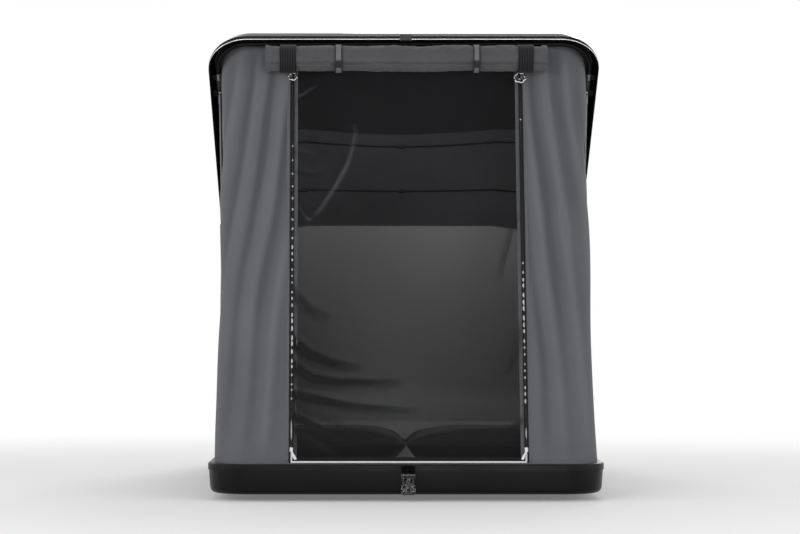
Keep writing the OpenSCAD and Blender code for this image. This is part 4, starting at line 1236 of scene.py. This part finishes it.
SIDE, CORNER, FLANK, MIDDLE = 48, 16, 24, 40
low_line = wall_line(0.627, -1.027, 1.027, 0.117, 0.382, SIDE, CORNER, FLANK, MIDDLE)
top_line = wall_line(0.639, -1.0265, 1.027, 0.118, 0.396, SIDE, CORNER, FLANK, MIDDLE)
top_line = [(x * (1 - 0.012 * (y - LID_FRONT)), y) for x, y in top_line]
STATIONS = len(low_line)
DOOR = SIDE + CORNER + FLANK
FAR_DOOR = STATIONS - 1 - DOOR


def outward(i):
    """The walls' outward direction at a station."""
    (ax, ay), (bx, by) = low_line[max(int(i) - 1, 0)], low_line[min(int(i) + 1, STATIONS - 1)]
    return Vector((by - ay, ax - bx, 0)).normalized()


def wall_point(i, v, out=0.0):
    """A point of the walls at station i and height share v, moved outwards."""
    k, t = min(int(i), STATIONS - 2), i - min(int(i), STATIONS - 2)
    ends = []
    for line in (low_line, top_line):
        (ax, ay), (bx, by) = line[k], line[k + 1]
        ends.append((ax + (bx - ax) * t, ay + (by - ay) * t))
    foot = Vector((*ends[0], REST))
    head = Vector(tilt(*ends[1], WALL_HEAD))
    normal = outward(k).lerp(outward(k + 1), t).normalized()
    return foot.lerp(head, v) + normal * (out - 0.008 * 4 * v * (1 - v))


FOLD_DEPTH = 0.0046


def folds(i, v):
    """Soft folds of the stretched canvas, nothing at its held edges."""
    held = clamp(v * 14) * clamp((1 - v) * 9)
    p = wall_point(i, v)
    if DOOR >= i >= SIDE or FAR_DOOR <= i <= STATIONS - 1 - SIDE:
        side = -1 if i <= DOOR else 1
        from_door = abs(p.x - DOOR_X) - 0.385
        fan = from_door - (0.190 if side < 0 else 0.150) * (1 - v) + 0.10 * max(0.0, 0.5 - v) ** 2
        stray = 0.020 * noise.noise(Vector((p.x * 4, p.z * 2.2, 3 + side)))
        wave = math.sin((fan + stray) * 2 * math.pi / 0.082 + (0.4 if side < 0 else 2.4))
        wave = wave + 0.28 * math.sin((fan + stray) * 2 * math.pi / 0.037 + 1.3)
        deep = FOLD_DEPTH * clamp(from_door * 22) * (0.35 + 0.65 * min(1.0, v * 1.6))
        return held * (deep * wave + 0.0016 * noise.noise(Vector((p.x * 9, p.z * 4, side))))
    wave = math.sin(p.y * 19 + p.z * 7 + (1 if p.x < 0 else 4)) * 0.5
    wave += noise.noise(Vector((p.y * 5, p.z * 3, 7)))
    wave += 0.5 * math.sin((p.y * 0.55 - p.z) * 23 + p.x)
    return held * 0.0034 * wave


# Height shares of the canopy's rows of points: its sill, the doorway's height and its header.
SILL, DOORWAY, HEADER = 0.003, 0.927, 0.07
v_rows = [0, 0.001, 0.002, SILL] + [SILL + DOORWAY * k / 64 for k in range(1, 65)]
v_rows += [0.93 + HEADER * k / 6 for k in range(1, 7)]
canopy_points, canopy_faces, canopy_map, canopy_fold_shade = [], [], [], []
run, upright = 0.0, (wall_point(DOOR, 1) - wall_point(DOOR, 0)).length
for i in range(STATIONS):
    if i:
        run += (wall_point(i, 0.4) - wall_point(i - 1, 0.4)).length
    tall = (wall_point(i, 1) - wall_point(i, 0)).length
    on_front = clamp((min(i, STATIONS - 1 - i) - SIDE) / CORNER)
    for v in v_rows:
        canopy_points.append(wall_point(i, v, 0.002 + folds(i, v)))
        # The folds' painted light and shade, stronger on the front than on the sides.
        canopy_fold_shade.append(folds(i, v) / FOLD_DEPTH * (0.35 + 0.65 * on_front))
        canopy_map.append((run, v * tall))
per_station = len(v_rows)
for i in range(STATIONS - 1):
    for j in range(per_station - 1):
        if DOOR <= i < FAR_DOOR and 3 <= j < per_station - 7:
            continue
        a = i * per_station + j
        canopy_faces.append((a, a + per_station, a + per_station + 1, a + 1))
canopy = mapped_sheet("canopy", canopy_points, canopy_faces, lambda k: canopy_map[k])
fold_shade_layer = canopy.data.attributes.new("fold_shade", "FLOAT", "POINT")
fold_shade_layer.data.foreach_set("value", canopy_fold_shade)
loose = bmesh.new()
loose.from_mesh(canopy.data)
bmesh.ops.delete(loose, geom=[v for v in loose.verts if not v.link_faces], context="VERTS")
loose.to_mesh(canopy.data)
loose.free()
thicken(canopy, 0.0016)
# The wall cloth carries painted light on its fold tops and painted shade in its hollows.
canvas = cloth("wall_cloth", rgb(84, 85, 89), rgb(106, 107, 111), 0.88, 1900.0, 0.25, 0.12,
               fold_shade=0.60)
canopy.data.materials.append(canvas)
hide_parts("front_wall", "front_header", "side_wall_left", "side_wall_right")


def fold_down(made):
    """Puts the cloth on the base, with a mesh of its own."""
    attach(made, "base")
    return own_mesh(made)


fold_down(canopy)

# ---- Rear gusset ----
# A low strip of the same canvas behind the hinges. It is held like the walls, joins them at both
# rear corners and keeps rain off the mattress.


def gusset_place(u, v):
    """A point of the gusset: its ends turn round the rear corners and rise to meet the walls."""
    a = abs(2 * u - 1)
    turn = math.radians(90 * max(0.0, 1 - (1 - a) / 0.16))
    side = -1 if u < 0.5 else 1
    if turn > 0:
        lx = 0.627 - 0.117 * (1 - math.sin(turn))
        ly = 1.027 - (0.117 - 0.0023) * (1 - math.cos(turn))
        t = 1 - turn / (math.pi / 2)
        hx = 0.6229 - 0.117 * (1 - math.sin(turn))
        hy = 1.027 - 0.010 * t - (0.117 - 0.0023) * (1 - math.cos(turn))
        hz = WALL_HEAD - 0.034 * t
    else:
        flat = min(1.0, a / 0.84)
        lx, ly = 0.510 * flat, 1.027
        hx, hy, hz = 0.5059 * flat, 1.017, 0.1485
    foot = Vector((side * lx, ly, REST))
    head = Vector(tilt(side * hx, hy, hz))
    p = foot.lerp(head, v)
    p.y += -0.001 + 0.0015 * math.sin(u * 60) * v * (1 - v) * 4
    return p


gusset = grid_sheet("rear_gusset_sheet", 120, 12, gusset_place, 0.0014)
gusset.data.materials.append(canvas)
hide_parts("rear_gusset")
fold_down(gusset)

# Behind it a strip of the lid's lining hangs from the lining's rear edge to the mattress, and
# hides the hinges from inside.


def curtain_place(u, v):
    """A point of the strip: upright behind the mattress, then leaning back to the lining."""
    x = -0.520 + 1.040 * u
    wave = 0.0016 * math.sin(x * 34) * math.sin(math.pi * v)
    wave += 0.0008 * noise.noise(Vector((x * 9, v * 2, 1)))
    back = max(0.0, (v - 0.31) / 0.69)
    y = 1.0178 + 0.0297 * back ** 1.1 - wave - 0.0020 * math.sin(math.pi * back)
    return Vector((x, y, 0.0955 + 0.0825 * v))


curtain = grid_sheet("rear_lining_strip", 90, 10, curtain_place, 0.0012)
curtain.data.materials.append(lining_felt)
fold_down(curtain)

# ---- Net door ----
# Black insect netting fills the doorway behind the zip. It is bound in tape, grey at its sides and
# near black along its foot, and is a little slack, so that folds pull across it, most of them from
# its left edge.


def fold_line(x, z, points):
    """Distance of a point from a bent line, with its sign, and how far along the line it is."""
    best, found = 9.0, (9.0, 0.0)
    p = Vector((x, z))
    for k in range(len(points) - 1):
        a, b = Vector(points[k]), Vector(points[k + 1])
        along = clamp((p - a).dot(b - a) / (b - a).length_squared)
        off = p - a.lerp(b, along)
        if off.length < best:
            best = off.length
            across = (b - a).x * off.y - (b - a).y * off.x
            found = (math.copysign(best, across), (k + along) / (len(points) - 1))
    return found


# Each fold: its line over the door in x and z, its half width, its depth, and how much its upper
# flank catches the light and its lower flank is in shade.
net_folds = (
    (((-0.372, 0.700), (-0.357, 0.676), (-0.318, 0.631), (-0.273, 0.609), (-0.220, 0.600)),
     0.022, 0.0060, 0.25, 0.45),
    (((-0.375, 0.535), (-0.358, 0.515), (-0.316, 0.482), (-0.250, 0.455), (-0.178, 0.439),
      (-0.120, 0.436)),
     0.020, 0.0090, 0.45, 0.95),
    (((-0.372, 0.450), (-0.352, 0.433), (-0.304, 0.401), (-0.216, 0.390), (-0.052, 0.388),
      (0.010, 0.390)),
     0.017, 0.0090, 0.55, 0.95),
    (((-0.372, 0.352), (-0.353, 0.347), (-0.292, 0.334), (-0.194, 0.314), (-0.009, 0.298),
      (0.060, 0.300)),
     0.017, 0.0080, 0.55, 0.80),
    (((-0.370, 0.285), (-0.350, 0.271), (-0.281, 0.239), (-0.216, 0.207), (-0.183, 0.176)),
     0.014, 0.0060, 0.35, 0.70),
    (((-0.369, 0.240), (-0.349, 0.229), (-0.291, 0.197), (-0.248, 0.170), (-0.210, 0.150)),
     0.012, 0.0050, 0.25, 0.60),
    (((-0.180, 1.240), (-0.192, 1.180), (-0.209, 1.122), (-0.254, 1.040), (-0.298, 0.971),
      (-0.327, 0.942), (-0.345, 0.950)),
     0.018, 0.0080, 0.50, 0.20),
    (((-0.310, 0.930), (-0.327, 0.942), (-0.361, 0.988), (-0.378, 1.010)),
     0.010, 0.0050, 0.32, 0.20),
    (((-0.372, 1.340), (-0.360, 1.353), (-0.314, 1.382), (-0.290, 1.395)),
     0.010, 0.0040, 0.36, 0.15),
    (((-0.372, 1.170), (-0.330, 1.150), (-0.290, 1.150)),
     0.012, 0.0040, 0.30, 0.25),
    (((-0.372, 1.100), (-0.330, 1.085), (-0.260, 1.090)),
     0.010, 0.0035, 0.28, 0.25),
    (((0.385, 0.930), (0.364, 0.880), (0.342, 0.805), (0.327, 0.748), (0.322, 0.690)),
     0.014, 0.0050, 0.35, 0.30),
    (((0.388, 0.560), (0.372, 0.480), (0.350, 0.420), (0.300, 0.380)),
     0.018, 0.0040, 0.20, 0.30),
    (((0.388, 0.260), (0.360, 0.235), (0.320, 0.220)),
     0.012, 0.0040, 0.25, 0.40),
)


def bell(value, middle, width):
    return math.exp(-(((value - middle) / width) ** 2))


def net_relief(x, z):
    """Depth of the folds at a place on the door net, and their light from -1 to 1."""
    deep, glow = 0.0, 0.0
    for points, width, depth, light, dark in net_folds:
        d, t = fold_line(x, z, points)
        if abs(d) > 3 * width:
            continue
        strong = math.sin(math.pi * clamp(0.15 + 0.85 * t)) ** 1.2
        deep += strong * depth * bell(d, 0, width)
        lit_flank = light * bell(d, 0.75 * width, 0.55 * width)
        shaded_flank = dark * bell(d, -0.35 * width, 1.05 * width)
        glow += 1.35 * strong * (lit_flank - shaded_flank)
    # Where the folds gather at the door's left edge the net gets painted shade as a whole.
    glow -= 0.42 * bell(x, -0.38, 0.13) * bell(z, 0.33, 0.24)
    return deep, clamp(glow, -1.0, 1.0)


def net_door_place(u, v):
    """A point of the door net, u from its left edge and v from its foot."""
    i = DOOR + (FAR_DOOR - DOOR) * u
    share = SILL + DOORWAY * v
    p = wall_point(i, share)
    held = min(1.0, 9 * u, 9 * (1 - u)) * min(1.0, 12 * v, 12 * (1 - v))
    back = net_relief(p.x, p.z)[0] + 0.0016 * noise.noise(Vector((p.x * 7, p.z * 3, 5)))
    return wall_point(i, share, -0.0004 - max(0.0, back + 0.0008) * held)


door_net = grid_sheet("door_net", 170, 300, net_door_place)
# The fold attribute carries the folds' painted light and shade.
glow = door_net.data.attributes.new("fold", "FLOAT", "POINT")
glow.data.foreach_set("value", [net_relief(v.co.x, v.co.z)[1] for v in door_net.data.vertices])
door_netting = netting("net_door", rgb(22, 22, 24), rgb(31, 31, 34), 0.0015, 0.13, 0.60, 0.05, 0.12,
                       folded=True)
door_net.data.materials.append(door_netting)
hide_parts("net_door")
fold_down(door_net)


def door_edge(side, v, inset, out):
    """A point beside the door's edge, inset towards its middle."""
    p = wall_point(DOOR if side < 0 else FAR_DOOR, max(v, SILL + inset / upright), out)
    p.x -= side * inset
    return p


def door_path(inset, out, head, steps=90):
    """Down the door's left edge, along its foot and up its right edge."""
    left = [door_edge(-1, head + (SILL - head) * k / steps, inset, out) for k in range(steps + 1)]
    right = [door_edge(1, SILL + (head - SILL) * k / steps, inset, out) for k in range(steps + 1)]
    foot = [left[-1].lerp(right[0], k / 40) for k in range(1, 40)]
    return left + foot + right


def door_strip(name, inner, outer, low_out, high_out, head, finish):
    """A flat band beside the door's edge, down one side, along the foot and up the other."""
    edges = ((inner, low_out), (outer, low_out), (outer, high_out), (inner, high_out))
    lines = [door_path(inset, out, head) for inset, out in edges]
    made = loft(name, [list(ring) for ring in zip(*lines)], sharp=30)
    made.data.materials.append(finish)
    return made


binding_tape = cloth("binding", rgb(104, 105, 109), rgb(122, 123, 127), 0.8, 2600.0, 0.3, 0.15,
                     on_map=False)
tape_tree, tape_shader = binding_tape.node_tree, binding_tape.node_tree.nodes["Principled BSDF"]
# Along the door's foot, below 0.144 to 0.148 m, the tape is near black.
tape_height = add(tape_tree, "ShaderNodeSeparateXYZ", {0: own_place(tape_tree)}).outputs[2]
dark_foot = spread(tape_tree, tape_height, 0.1440, 0.1480, 1.0, 0.0)
plain_tape = tape_shader.inputs["Base Color"].links[0].from_socket
tape_tree.links.new(mix_colour(tape_tree, dark_foot, plain_tape, rgb(18, 18, 20)),
                    tape_shader.inputs["Base Color"])
binding = door_strip("door_binding_tape", 0.006, 0.019, -0.0031, -0.0019, 0.93, binding_tape)
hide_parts("door_binding")
fold_down(binding)

# ---- Door zips ----
# A U-shaped zip on black tape runs down both edges and along the foot. Its teeth are white, as a
# painted glint of the teeth; two black lips close over them at the sides and gape here and there,
# where the glint shows. Each side has a slider with a pull tab at the foot, and hangs from a steel
# ring at the head.
zip_tape = cloth("zip_tape", rgb(11, 11, 13), rgb(19, 19, 21), 0.8, 3000.0, 0.3, 0.1, on_map=False)
tape = door_strip("zip_tape_strip", -0.0068, 0.0072, 0.0023, 0.0031, 0.90, zip_tape)
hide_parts("door_zip")
fold_down(tape)


def row_tree():
    """Rounded blocks at an even pitch along a path, turned to it and to its outward side."""
    values = (("Pitch", "Float"), ("Block Size", "Vector"), ("Shift", "Vector"),
              ("Finish", "Material"))
    tree, given, result = geometry_tree("blocks_along_path", "Path", values, "Row")
    curve = add(tree, "GeometryNodeMeshToCurve", {"Mesh": given.outputs["Path"]})
    even = add(tree, "GeometryNodeResampleCurve",
               {"Curve": curve.outputs[0], "Length": given.outputs["Pitch"]}, mode="LENGTH")
    tangent = add(tree, "GeometryNodeInputTangent")
    facing = add(tree, "GeometryNodeInputNamedAttribute", {"Name": "outward"},
                 data_type="FLOAT_VECTOR")
    ahead = add(tree, "FunctionNodeAlignRotationToVector", {"Vector": tangent.outputs[0]}, axis="X")
    outwards = {"Rotation": ahead.outputs[0], "Vector": facing.outputs[0]}
    turn = add(tree, "FunctionNodeAlignRotationToVector", outwards, axis="Z", pivot_axis="X")
    block = add(tree, "GeometryNodeMeshIcoSphere", {"Radius": 0.5, "Subdivisions": 1})
    sized = add(tree, "GeometryNodeTransform",
                {"Geometry": block.outputs[0], "Scale": given.outputs["Block Size"],
                 "Translation": given.outputs["Shift"]})
    row = painted_copies(tree, even.outputs[0], sized.outputs[0], turn.outputs[0],
                         given.outputs["Finish"])
    tree.links.new(row, result.inputs["Row"])
    return tree


path_blocks = row_tree()


def row_along(name, path, sides, pitch, size, shift, finish):
    """Bakes a row of blocks along one path, with the outward direction at each of its points."""
    mesh = bpy.data.meshes.new(name)
    mesh.from_pydata([tuple(p) for p in path], [(k, k + 1) for k in range(len(path) - 1)], [])
    facing = mesh.attributes.new("outward", "FLOAT_VECTOR", "POINT")
    for k in range(len(path)):
        facing.data[k].vector = sides[k] if isinstance(sides, list) else sides
    return run_tree(name, path_blocks, mesh,
                    {"Pitch": pitch, "Block Size": size, "Shift": shift, "Finish": finish})


door_rise = wall_point(DOOR, 1) - wall_point(DOOR, 0)
lean = math.atan2(door_rise.y, door_rise.z)
front_facing = (0.0, -math.cos(lean), math.sin(lean))
# White teeth: a painted glint of the zip's teeth, seen where the lips gape.
glint_white_teeth = moulding("zip_teeth", rgb(238, 238, 239), rgb(247, 247, 248), 0.3, 900.0, 0.05, 0.5)
ZIP_PITCH, ZIP_HEAD = 0.003, 0.90
for title, shift in (("inner", (0.0, -0.0014, 0.0006)), ("outer", (0.0015, 0.0014, 0.0006))):
    tooth_line, tooth = door_path(0.002, 0.0031, ZIP_HEAD), (0.0030, 0.0046, 0.0024)
    teeth = row_along("zip_teeth_" + title, tooth_line, front_facing, ZIP_PITCH, tooth, shift,
                      glint_white_teeth)
    fold_down(teeth)

foot_ends = [door_edge(side, 0.0, 0.0022, 0.0034) for side in (-1, 1)]
foot_line = [foot_ends[0].lerp(foot_ends[1], k / 60) for k in range(61)]
foot_teeth = row_along("zip_teeth_foot", foot_line, front_facing, ZIP_PITCH,
                       (0.0034, 0.0078, 0.0026), (0.0, 0.0, 0.0006), glint_white_teeth)
fold_down(foot_teeth)


def openings(side):
    """Where the lips over the teeth gape, from the head down.

    Each opening has its height share, half length and half width. Below the middle they crowd."""
    line = []
    v, k = (0.735, 0) if side < 0 else (0.455, 40)
    if side > 0:
        line.append((0.800, 0.0034, 0.0034))
    while v > 0.125:
        chance = 0.5 + 0.5 * math.sin(k * 12.9898 + side)
        dense = v < 0.50
        half_length = 0.0038 + 0.0056 * chance if dense else 0.0030 + 0.0014 * chance
        line.append((v, half_length, 0.0032 + 0.0014 * chance))
        if dense:
            v -= 0.0125 + 0.010 * (0.5 + 0.5 * math.sin(k * 4.137))
        else:
            v -= 0.0345 - 0.0026 * min(k, 6) + 0.003 * chance
        k += 1
    line.append((0.075, 0.036, 0.0022) if side < 0 else (0.068, 0.020, 0.0022))
    return line


def gape(line, v):
    """Half the gap between the lips at a height share."""
    widths = [wide * math.sqrt(max(0.0, 1 - ((v - at) * upright / long) ** 2))
              for at, long, wide in line]
    return max(0.0004, *widths)


for side, title in SIDE_NAMES.items():
    line = openings(side)
    steps = 1100
    lips = []
    for edge in (-1, 1):
        rings = []
        for k in range(steps + 1):
            v = 0.898 + (0.030 - 0.898) * k / steps
            lip = 0.0010 + edge * (gape(line, v) - 0.0002)
            root = -0.0066 if edge < 0 else 0.0070
            mid = (lip + root) / 2
            section = ((root, 0.0031), (mid, 0.0049), (lip, 0.0055), (lip, 0.0062), (mid, 0.0057),
                       (root, 0.0038))
            rings.append([door_edge(side, v, *at) for at in section])
        lips.append(rings)
    cover = assembled("zip_lips_" + title, lips, zip_tape, 60)
    fold_down(cover)

    flap_points, flap_faces = [], []
    steps = 150
    for k in range(steps + 1):
        v = 0.905 + (0.006 - 0.905) * k / steps
        slack = 0.0008 * noise.noise(Vector((v * 30, side * 4, 0)))
        for inset, out in ((-0.0190, 0.0022), (-0.0172, 0.0034), (-0.0110, 0.0040),
                           (-0.0076 + slack, 0.0042)):
            flap_points.append(door_edge(side, v, inset, out))
    for k in range(steps):
        for j in range(3):
            a = k * 4 + j
            flap_faces.append((a, a + 4, a + 5, a + 1) if side < 0 else (a, a + 1, a + 5, a + 4))
    flap = mapped_sheet("zip_hem_" + title, flap_points, flap_faces,
                        lambda k: (k % 4 * 0.004, k // 4 * 0.0085))
    thicken(flap, 0.0008)
    flap.data.materials.append(canvas)
    fold_down(flap)

# Lockstitch in grey thread, two rows on each hem and one on the door's binding.
thread = moulding("sewing_thread", rgb(126, 127, 130), rgb(150, 151, 154), 0.6, 2000.0, 0.3, 0.3)
STITCH, STITCH_PITCH, UNMOVED = (0.0030, 0.0008, 0.0007), 0.0048, (0.0, 0.0, 0.0)
for side, title in SIDE_NAMES.items():
    for row, (inset, out) in enumerate(((-0.0160, 0.0040), (-0.0098, 0.0045), (0.0170, -0.0016))):
        seam_line = [door_edge(side, 0.900 - 0.885 * k / 120, inset, out) for k in range(121)]
        sewn = row_along("stitches_%s_%d" % (title, row + 1), seam_line, front_facing, STITCH_PITCH,
                         STITCH, UNMOVED, thread)
        fold_down(sewn)

silver = metal("zip_silver", rgb(196, 196, 198), rgb(222, 222, 224), 0.18, (300.0, 300.0, 300.0),
               relief=0.04)
face_up = Vector(front_facing)
run_up = Vector((0, math.sin(lean), math.cos(lean)))
for side, title in SIDE_NAMES.items():
    seat = door_edge(side, 0.0315, 0.0012, 0.0072)
    slider_parts = ((seat, 0.017, 0.0105, 0.0040, 0.0012),
                    (seat + face_up * 0.0034, 0.011, 0.0034, 0.0034, 0.0008))
    slider_rings = [box_rings(spot, run_up, ACROSS, face_up, *sizes)
                    for spot, *sizes in slider_parts]
    slider = assembled("zip_slider_" + title, slider_rings, silver)
    fold_down(slider)
    lean_in = (run_up * -0.90 + Vector((side * -0.42, 0, 0))).normalized()
    flat_side = lean_in.cross(face_up).normalized()
    hang = seat + face_up * 0.0046 - run_up * 0.003
    tab_parts = ((0.010, 0.020, 0.0060, 0.0018, 0.0006), (0.027, 0.018, 0.0092, 0.0022, 0.0008))
    tab_rings = [box_rings(hang + lean_in * far, lean_in, flat_side, face_up, *sizes)
                 for far, *sizes in tab_parts]
    tab = assembled("zip_pull_" + title, tab_rings, silver)
    fold_down(tab)
    middle = door_edge(side, 0.9035 if side > 0 else 0.9065, 0.0015, 0.0105)
    size = 0.0205 if side > 0 else 0.0155
    ring_path = []
    for corner in range(6):
        for part in range(5):
            a = math.radians(60 * corner + 12 * part + 18)
            bowed = 1 - 0.10 * (1 - part / 2.5) ** 2
            r = size * bowed * (0.93 + 0.07 * math.cos(math.radians(60) * (part / 5 - 0.5) * 6))
            ring_path.append(middle + ACROSS * (r * math.cos(a)) + run_up * (r * math.sin(a)))
    ring = tube("zip_ring_" + title, ring_path, 0.0028, 10, closed=True)
    ring.data.materials.append(silver)
    fold_down(ring)
    tether_parts = (
        (middle + run_up * (size + 0.002) - face_up * 0.0035, 0.020, 0.0100, 0.0020, 0.0006),
        (middle + run_up * (size - 0.0005) + face_up * 0.0030, 0.0085, 0.0100, 0.0016, 0.0006),
        (middle - run_up * (size + 0.004) - face_up * 0.0035, 0.020, 0.0070, 0.0016, 0.0005))
    tether_rings = [box_rings(spot, run_up, ACROSS, face_up, *sizes)
                    for spot, *sizes in tether_parts]
    tether = assembled("zip_tether_" + title, tether_rings, zip_tape)
    fold_down(tether)

# ---- Rolled outer door ----
# The canvas door is rolled up from its foot under the header and held by two wide elastic straps
# and two narrow ones with side-release buckles; its open ends show the turns of the roll.
ROLL_RADIUS, ROLL_HALF = 0.048, 0.484
roll_low = wall_point(DOOR, 0.934, 0.002)
gap = ROLL_RADIUS + 0.0005 + 0.0016 + 0.0003
roll_centre = Vector((DOOR_X, roll_low.y - gap * math.cos(lean), roll_low.z + gap * math.sin(lean)))
# Each strap's place along the roll and its width.
STRAPS = ((-0.400, 0.056), (0.418, 0.054), (-0.226, 0.024), (0.249, 0.022))


def roll_place(u, v):
    """u runs along the roll, v from its outer edge in to its heart."""
    x = -ROLL_HALF + 0.968 * u
    turns = 7.5
    a = 2 * math.pi * turns * v + 4.30
    end = max(0.0, abs(x) - 0.418) / 0.066
    r = 0.0458 - 0.0356 * v
    pinch = max(bell(x + DOOR_X, place, width * 0.75) for place, width in STRAPS)
    r *= 1 - 0.045 * pinch
    outer = max(0.0, 1 - v * turns * 0.8)
    crumple = 0.0042 * noise.noise(Vector((x * 9, a * 0.7, 1)))
    crumple += 0.0024 * noise.noise(Vector((x * 30 + a * 2, a * 1.6, 4)))
    crumple += 0.0016 * (1 - abs(noise.noise(Vector((x * 22 - a * 1.5, a * 1.1, 6)))) * 4)
    crumple += 0.0080 * end * noise.noise(Vector((x * 55, a * 1.7, 8)))
    free_edge = 0.0014 * outer * (1 - min(1.0, v * turns * 5))
    r = min(r + crumple * (1 - 0.6 * v) * (1 - 0.7 * pinch) + free_edge, 0.0492)
    x += 0.007 * end * math.copysign(noise.noise(Vector((a, v * 3, x))), x)
    return roll_centre + Vector((clamp(x, -0.486, 0.486), r * math.sin(a), r * math.cos(a)))


roll = grid_sheet("rolled_door_sheet", 190, 250, roll_place, 0.0008)
roll_canvas = cloth("roll_cloth", rgb(68, 68, 71), rgb(92, 92, 95), 0.85, 1900.0, 0.25, 0.15)
creases = roll_canvas.node_tree
lines = mottle(creases, own_place(creases), 42.0, 5, Distortion=1.4)
weave_relief = next(n for n in creases.nodes if n.type == "BUMP")
relief = add(creases, "ShaderNodeBump", {"Height": lines, "Strength": 0.55, "Distance": 0.004})
creases.links.new(relief.outputs["Normal"], weave_relief.inputs["Normal"])
roll.data.materials.append(roll_canvas)
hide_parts("rolled_door")
fold_down(roll)

elastic = cloth("strap", rgb(11, 11, 12), rgb(38, 38, 40), 0.75, 1300.0, 0.5, 0.05, on_map=False,
                ribs=118.0)
grey_web = cloth("strap_grey", rgb(98, 99, 102), rgb(118, 119, 122), 0.8, 1500.0, 0.4, 0.15,
                 on_map=False)
buckle_black = moulding("buckle_acetal", rgb(20, 20, 21), rgb(30, 30, 31), 0.32, 900.0, 0.08, 0.4)


def strap_ring(name, x, width, radius, thickness, finish, ribs=0):
    """A webbing loop round the roll, with that many raised ribs across its width."""
    rings = []
    steps, across = 64, 4 * ribs if ribs else 4
    for k in range(steps):
        a = 2 * math.pi * k / steps
        give = 0.0010 * noise.noise(Vector((x * 9, math.cos(a) * 2, math.sin(a) * 2)))
        ring = []
        for s in range(across + 1):
            rib = 0.0008 * abs(math.sin(ribs * math.pi * s / across)) - 0.0004 if ribs else 0
            ring.append((s / across - 0.5, radius + thickness + give + rib))
        ring += [(s / across - 0.5, radius + give) for s in range(across, -1, -1)]
        place = x - DOOR_X
        rings.append([roll_centre + Vector((place + p * width, r * math.sin(a), r * math.cos(a)))
                      for p, r in ring])
    made = loft(name, rings, loop=True, sharp=40)
    made.data.materials.append(finish)
    return made


for number, (x, width) in enumerate(STRAPS):
    wide = width > 0.04
    finish, ribs = (elastic, 7) if wide else (grey_web, 0)
    loop_strap = strap_ring("roll_strap_%d" % (number + 1), x, width, 0.0466, 0.0018, finish, ribs)
    if number == 0:
        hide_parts("roll_straps")
    fold_down(loop_strap)
    if not wide:
        for edge_x, letter in ((-1, "a"), (1, "b")):
            at = x + edge_x * (width / 2 - 0.0012)
            cord_edge = strap_ring("strap_edge_%d_%s" % (number + 1, letter), at, 0.0030, 0.0482,
                                   0.0007, elastic)
            fold_down(cord_edge)
        a = math.radians(-118)
        spot = roll_centre + Vector((x - DOOR_X, 0.0510 * math.sin(a), 0.0510 * math.cos(a)))
        out_way = Vector((0, math.sin(a), math.cos(a)))
        down_way = Vector((0, -math.cos(a), math.sin(a)))
        buckle_rings = box_rings(spot, down_way, ACROSS, out_way, 0.026, width + 0.003, 0.0062,
                                 0.0016)
        buckle = loft("strap_buckle_%d" % (number + 1), buckle_rings, sharp=40)
        buckle.data.materials.append(buckle_black)
        fold_down(buckle)

# ---- Side windows ----
# A canvas cover over a net window on each side wall, bound in dark tape with a row of stitches
# inside it.
WINDOW_FOOT, WINDOW_TALL = 0.28, 0.46
for title, first in (("left", SIDE * 5 / 12), ("right", STATIONS - 1 - SIDE * 11 / 12)):
    last = first + SIDE * 6 / 12

    def window_place(u, v, first=first, last=last):
        """A point of the cover, between two stations and two height shares of the wall."""
        i = first + (last - first) * u
        share = WINDOW_FOOT + WINDOW_TALL * v
        puffed = 0.0022 * min(1.0, min(u, 1 - u) * 12) * min(1.0, min(v, 1 - v) * 12)
        return wall_point(i, share, 0.0026 + puffed + folds(i, share))

    cover = grid_sheet("window_cover_" + title, 40, 36, window_place, 0.0010)
    cover.data.materials.append(canvas)
    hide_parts("window_" + title)
    fold_down(cover)
    around_path = [(k / 40, 0) for k in range(41)] + [(1, k / 30) for k in range(1, 31)]
    around_path += [(1 - k / 40, 1) for k in range(1, 41)] + [(0, 1 - k / 30) for k in range(1, 30)]
    rim_path = []
    for u, v in around_path:
        away = outward(first + (last - first) * u)
        rim_path.append(window_place(0.01 + 0.98 * u, 0.01 + 0.98 * v) + away * 0.0008)
    frame_tape = tube("window_binding_" + title, rim_path, 0.0026, 6, closed=True)
    frame_tape.data.materials.append(zip_tape)
    fold_down(frame_tape)
    sewn_path, sewn_out = [], []
    for u, v in around_path + around_path[:1]:
        away = outward(first + (last - first) * u)
        sewn_path.append(window_place(0.035 + 0.93 * u, 0.035 + 0.93 * v) + away * 0.0004)
        sewn_out.append(tuple(away))
    sewn = row_along("window_stitches_" + title, sewn_path, sewn_out, STITCH_PITCH, STITCH, UNMOVED,
                     thread)
    fold_down(sewn)
